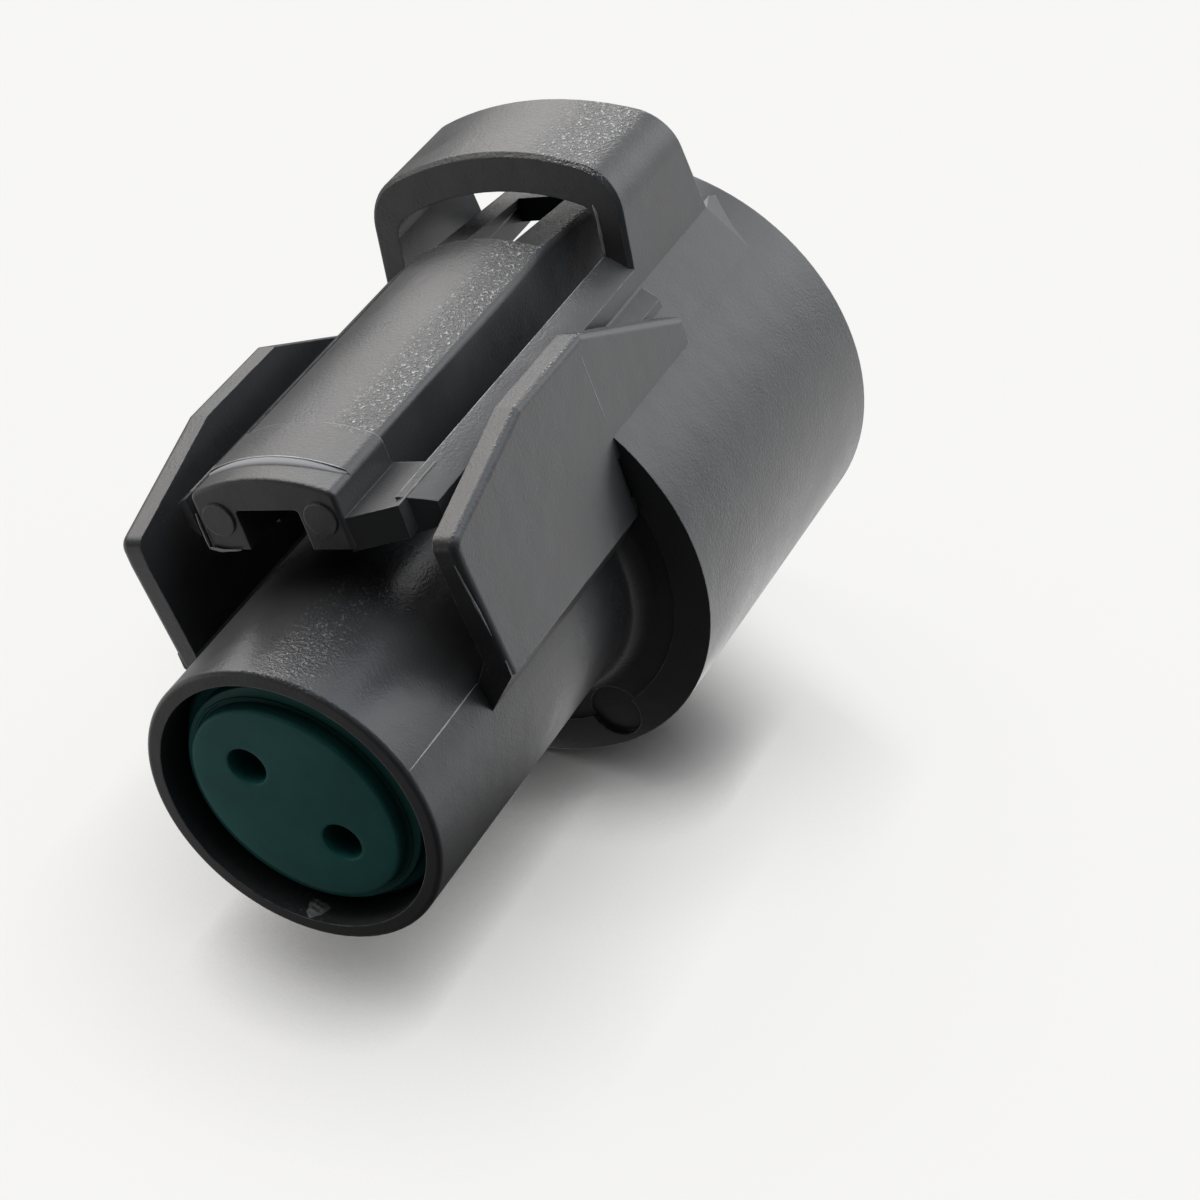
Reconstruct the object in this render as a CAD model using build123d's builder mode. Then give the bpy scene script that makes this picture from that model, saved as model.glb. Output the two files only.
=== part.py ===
from build123d import *
import os
from math import cos, radians, sin, sqrt

# Two-way round sealed connector for an automotive sensor, in millimetres.
# The origin is the centre of the mating mouth. +Y runs along the axis and out of
# the mouth, +Z points to the latch and +X to the right, seen from the wire end.
# Every distance called a station is measured from the wire end along the axis.

# Tube and mating sleeve
housing_length = 40.8
tube_radius = 8.0
tube_wall = 0.8
shoulder_station = 20.5
sleeve_radius = 12.3
sleeve_wall = 1.5
shoulder_wall = 2.0
mouth_depth = 5.0
mouth_relief = 0.3
rim_round = 0.25
shoulder_band = 2.0
shoulder_recess = 0.2
shoulder_fillet = 1.1
shoulder_mark_radius = 1.5
shoulder_mark_inset = 1.85
shoulder_mark_turn = 22.5
shoulder_mark_depth = 0.12

# Seal bore, terminal tower and cavities
seal_bore_depth = 9.5
tower_radius = 6.5
tower_setback = 6.8
cavity_pitch = 5.72
cavity_turn = 49.0
cavity_clearance = 0.15

# Side wings. A rise is a height above the sleeve's top, and a drop is a depth below it.
wing_inset = 3.7
wing_thickness = 1.3
wing_bottom = 2.9
wing_front_station = 6.35
wing_foot_setback = 0.5
wing_parting_drop = 2.95
wing_nose_drop = 1.55
wing_nose_round = 0.7
wing_top_rise = 0.7
wing_flat_start = 14.3
wing_flat_end = 20.8
wing_tail_station = 29.5
wing_tail_drop = 3.6
wing_tail_round = 0.45
wing_edge_round = 0.4
foot_height = 0.85
foot_root = 1.4
foot_lap = 0.9
foot_inset = 0.1

# Rails beside the arm, the ledge between rail and wing, and the slot between the rails
rail_width = 1.5
rail_rise = 1.35
rail_drop = 2.3
rail_front_station = 8.1
rail_front_slant = 0.95
ledge_width = 0.9
ledge_rise = 0.55
ledge_end_station = 29.95
slot_undercut = 0.25
keyway_half_width = 2.4

# Saddles: slopes from the sleeve up to the rails and the bridge, which fade out behind the bridge
saddle_angle = 35.5
saddle_sink = 0.03
saddle_lap = 0.5
saddle_fade = 2.3

# Bridge over the arm
bridge_front_station = 29.42
bridge_rear_station = 38.0
bridge_front_rake = 0.247
bridge_rear_rake = 0.11
bridge_rise = 5.4
bridge_wall = 1.95
bridge_corner_round = 2.6
bridge_inner_round = 1.3
bridge_edge_break = 0.22

# Latch arm and its press pad
arm_side_gap = 2.2
arm_rise = 2.1
arm_drop = 1.9
arm_crown_radius = 10.5
arm_edge_round = 0.45
arm_end_station = 28.4
arm_side_wall = 2.15
arm_notch_rise = 0.3
pad_front_station = 6.4
pad_lip_station = 8.1
pad_end_station = 11.1
pad_extra_width = 0.2
pad_extra_height = 0.1
pad_edge_round = 0.7
pad_lip_step = 0.15
pad_pin_radius = 0.88
pad_pin_inset = 1.0
pad_pin_depth = 2.3
pad_pin_relief = 0.12

# Twin beams, window and catch bar at the rear of the arm
beam_rise = 1.45
beam_fall = 1.0
beam_drop = 1.05
beam_wall_width = 1.0
beam_width = 2.35
left_beam_inset = 0.5
catch_station = 35.3
catch_length = 2.1
catch_drop = 0.7
catch_lead = 0.6

# Webs that hang the arm from the rails
web_drop = 0.3
web_thickness = 1.8
web_front_station = 8.2
web_end_station = 11.3
web_gusset = 1.7
web_root_width = 0.4
left_web_setback = 0.8

# Wire seal
seal_face_station = 0.3
seal_face_long_inset = 0.55
seal_face_short_inset = 1.27
seal_face_depth = 0.8
seal_face_round = 0.25
seal_rib_height = 0.8
seal_rib_width = 1.1
seal_rib_round = 0.35
seal_rib_count = 3
seal_rib_spacing = 2.3
seal_first_rib = 2.0
seal_clearance = 0.05
wire_hole_radius = 1.05

# Interface seal at the tower's foot
ring_length = 3.2
ring_body_height = 1.3
ring_lip_height = 0.7
ring_lip_width = 0.7
ring_lip_round = 0.25

# Front retainer on the tower's tip
retainer_skirt = 2.5
retainer_wall = 0.8
retainer_front = 1.2
retainer_round = 0.3
pin_window_width = 3.2
pin_window_height = 1.4
pin_window_lead = 0.35

# Contacts, folded from one strip
contact_width = 4.0
contact_height = 2.9
contact_sheet = 0.35
contact_length = 17.0
contact_box_length = 8.6
contact_lip = 1.35
contact_curl = 0.9
wire_barrel_length = 3.2
wire_barrel_radius = 0.95
grip_barrel_length = 2.7
grip_barrel_radius = 1.4
barrel_gap = 0.9
tongue_rise = 0.9
strip_width = 1.8

# Sizes that follow from the ones above: tube, sleeve and tower
tube_bore = tube_radius - tube_wall
sleeve_bore = sleeve_radius - sleeve_wall
mouth_radius = sleeve_bore + mouth_relief
sleeve_floor_station = shoulder_station + shoulder_wall
mouth_floor_station = housing_length - mouth_depth
tower_end_station = housing_length - tower_setback
recess_width = sleeve_radius - shoulder_band - tube_radius
shoulder_root_round = min(shoulder_fillet, 0.8 * recess_width)
cavity_width = contact_width + 2 * cavity_clearance
cavity_height = contact_height + 2 * cavity_clearance

# Wings, rails, slot and bridge, set out from the sleeve's side and top
wing_inner = sleeve_radius - wing_inset
wing_outer = wing_inner + wing_thickness
wing_parting_height = sleeve_radius - wing_parting_drop
wing_nose_height = sleeve_radius - wing_nose_drop
wing_top_height = sleeve_radius + wing_top_rise
wing_tail_height = sleeve_radius - wing_tail_drop
rail_outer = wing_inner - ledge_width
slot_half_width = rail_outer - rail_width
rail_crown_radius = sleeve_radius + rail_rise
rail_bottom = sleeve_radius - rail_drop
ledge_radius = sleeve_radius + ledge_rise
slot_floor = sqrt(sleeve_bore ** 2 - slot_half_width ** 2) - slot_undercut
saddle_turn = radians(saddle_angle)
saddle_reach = sleeve_radius - saddle_sink
saddle_top = (saddle_reach - rail_outer * cos(saddle_turn)) / sin(saddle_turn)
saddle_run = saddle_top * cos(saddle_turn) - (rail_outer - saddle_lap) * sin(saddle_turn)
saddle_depth = saddle_reach - sqrt(sleeve_radius ** 2 - saddle_run ** 2)
saddle_end_station = bridge_rear_station + saddle_fade
bridge_crown_radius = sleeve_radius + bridge_rise

# Arm, beams and webs, set out from the slot and the sleeve's top
arm_half_width = slot_half_width - arm_side_gap
arm_crown_height = sleeve_radius + arm_rise
arm_bottom = sleeve_radius - arm_drop
arm_notch_half_width = arm_half_width - arm_side_wall
arm_notch_height = sleeve_radius + arm_notch_rise
pad_pin_offset = arm_half_width - pad_pin_inset
pad_pin_height = arm_crown_height - pad_pin_depth
beam_top = sleeve_radius + beam_rise
beam_bottom = sleeve_radius - beam_drop
window_half_width = arm_half_width - beam_width
catch_end_station = catch_station + catch_length
beam_run = catch_end_station - arm_end_station
beam_length = sqrt(beam_run ** 2 + beam_fall ** 2)
catch_bottom = sleeve_radius - catch_drop
web_top = sleeve_radius - web_drop

# Seal
seal_body_radius = tube_bore - seal_clearance - seal_rib_height


def along(distance):
    """The Y of a station, which is measured from the wire end."""
    return distance - housing_length


def station(distance):
    """Section plane square to the axis. Its local axes are +X and +Z, and -amount extrudes to the mouth."""
    return Plane.XZ.offset(-along(distance))


def cavity_plane(distance):
    """Section plane whose local X runs along the line through both cavities."""
    turn = radians(cavity_turn)
    return Plane(origin=(0, along(distance), 0), x_dir=(cos(turn), 0, -sin(turn)), z_dir=(0, -1, 0))


def crowned_block(half_width, foot, crown_top, crown_radius, corner_round):
    """Draws a block on a flat foot whose top is an arc, with both top corners rounded."""
    with Locations((0, crown_top - crown_radius)):
        Circle(crown_radius)
    with Locations((0, (foot + crown_top) / 2)):
        Rectangle(2 * half_width, crown_top - foot, mode=Mode.INTERSECT)
    fillet(vertices().group_by(Axis.Y)[-1], corner_round)


def side_band(inner, outer, foot, crown_radius):
    """Draws a band between two distances from the middle, up to an arc about the axis."""
    Circle(crown_radius)
    with Locations(((inner + outer) / 2, (foot + crown_radius) / 2)):
        Rectangle(outer - inner, crown_radius - foot, mode=Mode.INTERSECT)


# The bridge: an arch over the arm whose front and rear faces are raked
bridge_opening_top = bridge_crown_radius - bridge_wall
bridge_height = bridge_crown_radius - rail_bottom

with BuildPart() as bridge:
    with BuildSketch(station(bridge_front_station)) as bridge_outer:
        crowned_block(rail_outer, slot_floor, bridge_crown_radius, bridge_crown_radius, bridge_corner_round)
    extrude(amount=-(bridge_rear_station - bridge_front_station))
    with BuildSketch(station(bridge_front_station)) as bridge_opening:
        crowned_block(slot_half_width, slot_floor, bridge_opening_top, bridge_opening_top, bridge_inner_round)
    extrude(amount=-(bridge_rear_station - bridge_front_station), mode=Mode.SUBTRACT)
    with BuildSketch(Plane.YZ) as side_view:
        with BuildLine():
            Polyline(
                (along(bridge_front_station), slot_floor),
                (along(bridge_front_station), rail_bottom),
                (along(bridge_front_station + bridge_front_rake * bridge_height), bridge_crown_radius),
                (along(bridge_rear_station - bridge_rear_rake * bridge_height), bridge_crown_radius),
                (along(bridge_rear_station), rail_bottom),
                (along(bridge_rear_station), slot_floor),
                close=True,
            )
        make_face()
    extrude(amount=rail_outer, both=True, mode=Mode.INTERSECT)
    front_face = bridge.faces().filter_by(lambda face: face.normal_at().Y < -0.9).sort_by(SortBy.AREA)[-1]
    front_rim = front_face.edges().filter_by(
        lambda edge: edge.center().Z > rail_bottom + 1
        and (abs(edge.center().X) > slot_half_width + 0.5 or edge.center().Z > bridge_opening_top + 0.5))
    chamfer(front_rim, bridge_edge_break)

# One wing: a plate with a nose, a flat top and a tail that slopes down to the sleeve
wing_buried = sqrt((sleeve_radius - sleeve_wall / 2) ** 2 - wing_outer ** 2)
with BuildPart() as wing:
    with BuildSketch(Plane.YZ.offset(wing_inner)) as wing_outline:
        with BuildLine():
            Polyline(
                (along(wing_front_station + wing_foot_setback), wing_bottom),
                (along(wing_front_station), wing_parting_height),
                (along(wing_front_station), wing_nose_height),
                (along(wing_flat_start), wing_top_height),
                (along(wing_flat_end), wing_top_height),
                (along(wing_tail_station), wing_tail_height),
                (along(wing_tail_station), wing_buried),
                (along(shoulder_station), wing_buried),
                (along(shoulder_station), wing_bottom),
                close=True,
            )
        make_face()
        corners = wing_outline.vertices().sort_by(Axis.X)
        nose = corners.filter_by(lambda corner: abs(corner.Y - wing_nose_height) < 0.01)
        tail = corners.filter_by(lambda corner: abs(corner.Y - wing_tail_height) < 0.01)
        fillet(nose, wing_nose_round)
        fillet(tail, wing_tail_round)
    extrude(amount=wing_thickness)
    wing_face = wing.faces().sort_by(Axis.X)[-1]
    fillet(wing_face.edges().filter_by(lambda edge: edge.center().Z > wing_bottom + 1), wing_edge_round)

# The foot under the wing: a slanting web from the wing's lower edge to the tube
foot_tube_x = sqrt(tube_radius ** 2 - foot_height ** 2)
foot_buried_x = tube_radius - tube_wall / 2
with BuildPart() as wing_foot:
    with BuildSketch(station(wing_front_station + wing_foot_setback)) as foot_section:
        with BuildLine():
            Polyline(
                (wing_outer - foot_inset, wing_bottom),
                (foot_tube_x, foot_height),
                (foot_buried_x, foot_height),
                (foot_buried_x, foot_height + foot_root),
                (wing_inner, wing_bottom + foot_lap),
                (wing_outer - foot_inset, wing_bottom + foot_lap),
                close=True,
            )
        make_face()
    extrude(amount=-(shoulder_station - wing_front_station - wing_foot_setback))

# One rail: a bar that reaches forward from the sleeve, with a slanted front end
with BuildPart() as rail:
    with BuildSketch(station(rail_front_station)) as rail_section:
        side_band(slot_half_width, rail_outer, rail_bottom, rail_crown_radius)
    extrude(amount=-(bridge_rear_station - rail_front_station - rail_front_slant))
    with BuildSketch(Plane.XY.offset(rail_bottom)) as slant:
        with BuildLine():
            Polyline(
                (slot_half_width, along(rail_front_station)),
                (rail_outer, along(rail_front_station + rail_front_slant)),
                (rail_outer, along(rail_front_station)),
                close=True,
            )
        make_face()
    extrude(amount=rail_crown_radius - rail_bottom, mode=Mode.SUBTRACT)
    with BuildSketch(station(shoulder_station)) as rail_root:
        side_band(slot_half_width, rail_outer, slot_floor, sleeve_radius)
    extrude(amount=-(bridge_rear_station - shoulder_station))

# One saddle: a flat slope that leaves the sleeve at a shallow angle and ends against the rail
saddle_root = sleeve_radius - sleeve_wall / 2
with BuildPart() as saddle:
    with BuildSketch(station(shoulder_station)) as saddle_section:
        with BuildLine():
            Polyline(
                (rail_outer - saddle_lap, slot_floor),
                (rail_outer - saddle_lap, saddle_top),
                (rail_outer, saddle_top),
                (saddle_reach * cos(saddle_turn), saddle_reach * sin(saddle_turn)),
                (saddle_root * cos(saddle_turn), saddle_root * sin(saddle_turn)),
                close=True,
            )
        make_face()
    extrude(amount=-(saddle_end_station - shoulder_station))
    fade_plane = Plane(origin=(0, 0, 0), x_dir=(0, 1, 0), z_dir=(sin(saddle_turn), 0, -cos(saddle_turn)))
    with BuildSketch(fade_plane) as saddle_fading:
        with BuildLine():
            Polyline(
                (along(bridge_rear_station), saddle_reach),
                (along(saddle_end_station), saddle_reach),
                (along(saddle_end_station), saddle_reach - saddle_depth),
                close=True,
            )
        make_face()
    extrude(amount=sleeve_radius / 2, both=True, mode=Mode.SUBTRACT)

# The ledge that fills the corner between rail and wing on the sleeve
with BuildPart() as ledge:
    with BuildSketch(station(shoulder_station)) as ledge_section:
        side_band(rail_outer, wing_inner, slot_floor, ledge_radius)
    extrude(amount=-(ledge_end_station - shoulder_station))

# The webs between arm and rails. Only the right one has a gusset to the pad's front corner.
web_root = slot_half_width + web_root_width
with BuildPart() as webs:
    with BuildSketch(Plane.XY.offset(web_top - web_thickness)) as web_plan:
        with BuildLine():
            Polyline(
                (-web_root, along(web_front_station + left_web_setback)),
                (arm_half_width, along(web_front_station + left_web_setback)),
                (arm_half_width, along(web_front_station - web_gusset)),
                (web_root, along(web_front_station - web_gusset / 3)),
                (web_root, along(web_end_station)),
                (-web_root, along(web_end_station)),
                close=True,
            )
        make_face()
    extrude(amount=web_thickness)
    with BuildSketch(Plane.XY.offset(web_top - web_thickness)) as arm_gap:
        with Locations((0, along((pad_front_station + web_end_station) / 2))):
            Rectangle(2 * arm_notch_half_width, web_end_station)
    extrude(amount=web_thickness, mode=Mode.SUBTRACT)

# The arm: pad, crowned stretch, twin beams and catch bar, hollow underneath
pad_half_width = arm_half_width + pad_extra_width
pad_crown = arm_crown_height + pad_extra_height

with BuildPart() as arm:
    with BuildSketch(station(pad_front_station)) as pad_front:
        crowned_block(pad_half_width, arm_bottom, pad_crown - pad_lip_step, arm_crown_radius, arm_edge_round)
    extrude(amount=-(pad_lip_station - pad_front_station))
    pad_front_edges = arm.faces().sort_by(Axis.Y)[0].edges().filter_by(lambda edge: edge.center().Z > arm_notch_height)
    fillet(pad_front_edges, arm_edge_round / 2)
    with BuildSketch(station(pad_lip_station)) as pad_rear:
        crowned_block(pad_half_width, arm_bottom, pad_crown, arm_crown_radius, pad_edge_round)
    extrude(amount=-(pad_end_station - pad_lip_station))
    with BuildSketch(station(pad_end_station)) as arm_section:
        crowned_block(arm_half_width, arm_bottom, arm_crown_height, arm_crown_radius, arm_edge_round)
    extrude(amount=-(arm_end_station - pad_end_station))
    with BuildSketch(station(arm_end_station)) as beam_section:
        with Locations((left_beam_inset / 2, (arm_bottom + beam_top) / 2)):
            Rectangle(2 * arm_half_width - left_beam_inset, beam_top - arm_bottom)
        fillet(beam_section.vertices().group_by(Axis.Y)[-1], arm_edge_round)
    extrude(amount=beam_length, dir=(0, beam_run / beam_length, -beam_fall / beam_length))
    with BuildSketch(station(arm_end_station)) as beam_underside:
        with Locations((0, (arm_bottom - beam_fall + beam_bottom) / 2)):
            Rectangle(2 * arm_half_width, beam_bottom - arm_bottom + beam_fall)
    extrude(amount=-beam_run, mode=Mode.SUBTRACT)
    # The right beam keeps the arm's outer wall below it, as far as the catch bar
    with BuildSketch(station(arm_end_station)) as beam_wall:
        with Locations((arm_half_width - beam_wall_width / 2, (arm_bottom + sleeve_radius) / 2)):
            Rectangle(beam_wall_width, sleeve_radius - arm_bottom)
    extrude(amount=-(catch_station - arm_end_station))
    with BuildSketch(station(pad_front_station)) as notch:
        with Locations((0, (arm_bottom + arm_notch_height) / 2)):
            Rectangle(2 * arm_notch_half_width, arm_notch_height - arm_bottom)
        fillet(notch.vertices().group_by(Axis.Y)[-1], arm_edge_round / 2)
    extrude(amount=-(catch_station - pad_front_station), mode=Mode.SUBTRACT)
    with BuildSketch(station(arm_end_station)) as window:
        with Locations((0, (arm_bottom + arm_crown_height) / 2)):
            Rectangle(2 * window_half_width, arm_crown_height - arm_bottom)
    extrude(amount=-(catch_station - arm_end_station), mode=Mode.SUBTRACT)
    with BuildSketch(Plane.YZ) as catch_slope:
        with BuildLine():
            Polyline(
                (along(catch_station), arm_bottom),
                (along(catch_station), catch_bottom),
                (along(catch_end_station - catch_lead), catch_bottom),
                (along(catch_end_station), catch_bottom + catch_lead),
                (along(catch_end_station), arm_bottom),
                close=True,
            )
        make_face()
    extrude(amount=arm_notch_half_width, both=True, mode=Mode.SUBTRACT)
    with BuildSketch(station(pad_front_station)) as ejector_marks:
        with Locations((-pad_pin_offset, pad_pin_height), (pad_pin_offset, pad_pin_height)):
            Circle(pad_pin_radius)
    extrude(amount=pad_pin_relief)

# The housing: one moulding
with BuildPart() as housing:
    with BuildSketch(Plane.XY) as body_profile:
        with BuildLine():
            Polyline(
                (0, along(0)),
                (tube_radius, along(0)),
                (tube_radius, along(shoulder_station)),
                (sleeve_radius, along(shoulder_station)),
                (sleeve_radius, along(housing_length)),
                (0, along(housing_length)),
                close=True,
            )
        make_face()
    revolve(axis=Axis.Y)
    rims = housing.edges().filter_by(GeomType.CIRCLE).group_by(Axis.Y)
    fillet(rims[0], rim_round)
    fillet(rims[-1], rim_round)
    with BuildSketch(station(shoulder_station)) as recess:
        Circle(sleeve_radius - shoulder_band)
        Circle(tube_radius, mode=Mode.SUBTRACT)
    extrude(amount=-shoulder_recess, mode=Mode.SUBTRACT)
    tube_root = housing.edges().filter_by(GeomType.CIRCLE).filter_by(
        lambda edge: abs(edge.radius - tube_radius) < 0.01 and edge.center().Y > along(shoulder_station))
    fillet(tube_root, shoulder_root_round)
    with BuildSketch(station(shoulder_station)) as shoulder_marks:
        mark_reach = sleeve_radius - shoulder_mark_inset
        with PolarLocations(mark_reach, 2, -90 - shoulder_mark_turn, 4 * shoulder_mark_turn):
            Circle(shoulder_mark_radius)
    extrude(amount=-(shoulder_recess + shoulder_mark_depth), mode=Mode.SUBTRACT)
    add(wing.part)
    add(wing_foot.part)
    add(rail.part)
    add(ledge.part)
    add(saddle.part)
    mirror(about=Plane.YZ)
    add(bridge.part)
    with BuildSketch(station(shoulder_station)) as slot:
        with Locations((0, (slot_floor + rail_crown_radius) / 2)):
            Rectangle(2 * slot_half_width, rail_crown_radius - slot_floor)
    extrude(amount=-(bridge_rear_station - shoulder_station), mode=Mode.SUBTRACT)
    with BuildSketch(station(bridge_rear_station)) as keyway:
        with Locations((0, (slot_floor + rail_crown_radius) / 2)):
            Rectangle(2 * keyway_half_width, rail_crown_radius - slot_floor)
    extrude(amount=-(housing_length - bridge_rear_station), mode=Mode.SUBTRACT)
    add(webs.part)
    add(arm.part)
    with BuildSketch(station(0)) as seal_bore:
        Circle(tube_bore)
    extrude(amount=-seal_bore_depth, mode=Mode.SUBTRACT)
    with BuildSketch(station(mouth_floor_station)) as mouth:
        Circle(mouth_radius)
    extrude(amount=-mouth_depth, mode=Mode.SUBTRACT)
    with BuildSketch(station(sleeve_floor_station)) as annulus:
        Circle(sleeve_bore)
        Circle(tower_radius, mode=Mode.SUBTRACT)
    extrude(amount=-(mouth_floor_station - sleeve_floor_station), mode=Mode.SUBTRACT)
    with BuildSketch(station(tower_end_station)) as tower_front:
        Circle(sleeve_bore)
    extrude(amount=-(mouth_floor_station - tower_end_station), mode=Mode.SUBTRACT)
    with BuildSketch(station(tower_end_station - retainer_skirt)) as tower_tip:
        Circle(tower_radius)
        Circle(tower_radius - retainer_wall, mode=Mode.SUBTRACT)
    extrude(amount=-retainer_skirt, mode=Mode.SUBTRACT)
    with BuildSketch(cavity_plane(seal_bore_depth)) as cavities:
        with Locations((-cavity_pitch / 2, 0), (cavity_pitch / 2, 0)):
            Rectangle(cavity_width, cavity_height)
    extrude(amount=-(tower_end_station - seal_bore_depth), mode=Mode.SUBTRACT)

# The wire seal: an oval face, a round body with ribs, and two wire holes
with BuildPart() as wire_seal:
    with BuildSketch(cavity_plane(seal_face_station)) as seal_face:
        Ellipse(seal_body_radius - seal_face_long_inset, seal_body_radius - seal_face_short_inset)
    extrude(amount=-seal_face_depth)
    fillet(wire_seal.edges().group_by(Axis.Y)[0], seal_face_round)
    with BuildSketch(station(seal_face_station + seal_face_depth)) as seal_body:
        Circle(seal_body_radius)
    extrude(amount=-(seal_bore_depth - seal_clearance - seal_face_station - seal_face_depth))
    for rib in range(seal_rib_count):
        with BuildSketch(station(seal_first_rib + rib * seal_rib_spacing)) as seal_rib:
            Circle(tube_bore - seal_clearance)
        extrude(amount=-seal_rib_width)
    rib_edges = wire_seal.edges().filter_by(GeomType.CIRCLE).filter_by(
        lambda edge: abs(edge.radius - tube_bore + seal_clearance) < 0.01)
    fillet(rib_edges, seal_rib_round)
    with BuildSketch(cavity_plane(seal_face_station)) as wire_holes:
        with Locations((-cavity_pitch / 2, 0), (cavity_pitch / 2, 0)):
            Circle(wire_hole_radius)
    extrude(amount=-(seal_bore_depth - seal_face_station), mode=Mode.SUBTRACT)

# The interface seal: a ring round the tower's foot with two lips
with BuildPart() as interface_seal:
    with BuildSketch(station(sleeve_floor_station)) as ring_body:
        Circle(tower_radius + seal_clearance + ring_body_height)
        Circle(tower_radius + seal_clearance, mode=Mode.SUBTRACT)
    extrude(amount=-ring_length)
    for lip_start in (ring_lip_width, ring_length - 2 * ring_lip_width):
        with BuildSketch(station(sleeve_floor_station + lip_start)) as ring_lip:
            Circle(tower_radius + seal_clearance + ring_body_height + ring_lip_height)
            Circle(tower_radius + seal_clearance, mode=Mode.SUBTRACT)
        extrude(amount=-ring_lip_width)
    lip_edges = interface_seal.edges().filter_by(GeomType.CIRCLE).filter_by(
        lambda edge: edge.radius > tower_radius + seal_clearance + ring_body_height + 0.01)
    fillet(lip_edges, ring_lip_round)

# The front retainer: a cap on the tower's tip with a window for each pin
with BuildPart() as front_retainer:
    with BuildSketch(station(tower_end_station - retainer_skirt)) as retainer_outline:
        Circle(tower_radius)
    extrude(amount=-(retainer_skirt + retainer_front))
    fillet(front_retainer.edges().group_by(Axis.Y)[-1], retainer_round)
    with BuildSketch(station(tower_end_station - retainer_skirt)) as retainer_bore:
        Circle(tower_radius - retainer_wall + seal_clearance)
    extrude(amount=-retainer_skirt, mode=Mode.SUBTRACT)
    with BuildSketch(cavity_plane(tower_end_station)) as pin_windows:
        with Locations((-cavity_pitch / 2, 0), (cavity_pitch / 2, 0)):
            Rectangle(pin_window_width, pin_window_height)
    extrude(amount=-retainer_front, mode=Mode.SUBTRACT)
    window_edges = front_retainer.faces().sort_by(Axis.Y)[-1].inner_wires().edges()
    chamfer(window_edges, pin_window_lead)


def make_contact(offset):
    """A contact folded from one strip: box with curled lips, spring tongue and two closed crimp barrels."""
    front = tower_end_station - cavity_clearance
    box_start = front - contact_box_length
    grip_start = front - contact_length
    wire_start = grip_start + grip_barrel_length + barrel_gap
    floor = -contact_height / 2
    with BuildPart() as contact:
        with BuildSketch(cavity_plane(box_start)) as box_section:
            with Locations((offset, 0)):
                Rectangle(contact_width, contact_height)
                Rectangle(contact_width - 2 * contact_sheet, contact_height - 2 * contact_sheet, mode=Mode.SUBTRACT)
            with Locations((offset, contact_height / 2)):
                Rectangle(contact_width - 2 * contact_lip, 2 * contact_sheet, mode=Mode.SUBTRACT)
            lip_edge = contact_width / 2 - contact_lip + contact_sheet / 2
            with Locations((offset - lip_edge, (contact_height - contact_curl) / 2),
                           (offset + lip_edge, (contact_height - contact_curl) / 2)):
                Rectangle(contact_sheet, contact_curl)
        extrude(amount=-contact_box_length)
        with BuildSketch(cavity_plane(grip_start)) as strip:
            with Locations((offset, floor + contact_sheet / 2)):
                Rectangle(strip_width, contact_sheet)
        extrude(amount=-(box_start - grip_start))
        for start, length, radius in (
            (grip_start, grip_barrel_length, grip_barrel_radius),
            (wire_start, wire_barrel_length, wire_barrel_radius),
        ):
            with BuildSketch(cavity_plane(start)) as barrel:
                with Locations((offset, floor + contact_sheet / 2 + radius)):
                    Circle(radius)
                    Circle(radius - contact_sheet, mode=Mode.SUBTRACT)
            extrude(amount=-length)
        with BuildSketch(cavity_plane(box_start + contact_sheet)) as tongue:
            with Locations((offset, floor + contact_sheet + tongue_rise / 2)):
                Rectangle(strip_width, tongue_rise)
        extrude(amount=-contact_sheet)
    return contact


contact_upper = make_contact(-cavity_pitch / 2)
contact_lower = make_contact(cavity_pitch / 2)

housing.part.label = "housing"
wire_seal.part.label = "wire_seal"
interface_seal.part.label = "interface_seal"
front_retainer.part.label = "front_retainer"
contact_upper.part.label = "contact_upper"
contact_lower.part.label = "contact_lower"

os.makedirs("parts", exist_ok=True)
export_step(housing.part, "parts/housing.step")
export_step(wire_seal.part, "parts/wire_seal.step")
export_step(interface_seal.part, "parts/interface_seal.step")
export_step(front_retainer.part, "parts/front_retainer.step")
export_step(contact_upper.part, "parts/contact_upper.step")
export_step(contact_lower.part, "parts/contact_lower.step")
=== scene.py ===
import math

import bpy
import numpy as np
from mathutils import Matrix, Vector


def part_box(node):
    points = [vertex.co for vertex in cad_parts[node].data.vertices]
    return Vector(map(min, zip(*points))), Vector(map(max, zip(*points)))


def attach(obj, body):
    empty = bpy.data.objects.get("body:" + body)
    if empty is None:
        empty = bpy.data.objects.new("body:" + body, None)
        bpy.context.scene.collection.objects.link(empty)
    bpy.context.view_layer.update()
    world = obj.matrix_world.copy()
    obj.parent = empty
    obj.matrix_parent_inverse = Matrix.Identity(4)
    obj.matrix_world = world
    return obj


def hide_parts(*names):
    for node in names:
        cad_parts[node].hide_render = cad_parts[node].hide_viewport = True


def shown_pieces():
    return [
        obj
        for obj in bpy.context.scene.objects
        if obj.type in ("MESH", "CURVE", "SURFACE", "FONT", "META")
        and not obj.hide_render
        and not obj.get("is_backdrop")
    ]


bl_info = {
    "name": "Sealed sensor connector",
    "version": (1, 0, 0),
    "blender": (4, 5, 0),
    "location": "3D View > Sidebar > Connector",
    "description": "Dresses a round two-way sealed sensor connector and sets it on a pale studio floor",
    "category": "Object",
}

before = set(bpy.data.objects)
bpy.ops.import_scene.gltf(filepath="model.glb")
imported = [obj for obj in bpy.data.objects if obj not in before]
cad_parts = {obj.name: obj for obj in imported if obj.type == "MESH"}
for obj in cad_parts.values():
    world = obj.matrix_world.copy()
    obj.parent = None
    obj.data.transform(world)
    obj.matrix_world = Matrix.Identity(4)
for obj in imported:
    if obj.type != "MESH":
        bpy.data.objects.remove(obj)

MM = 0.001

# The station of the wire end, in millimetres. The origin is the centre of the mouth at the other end.
WIRE_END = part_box("housing")[0].y / MM

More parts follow.
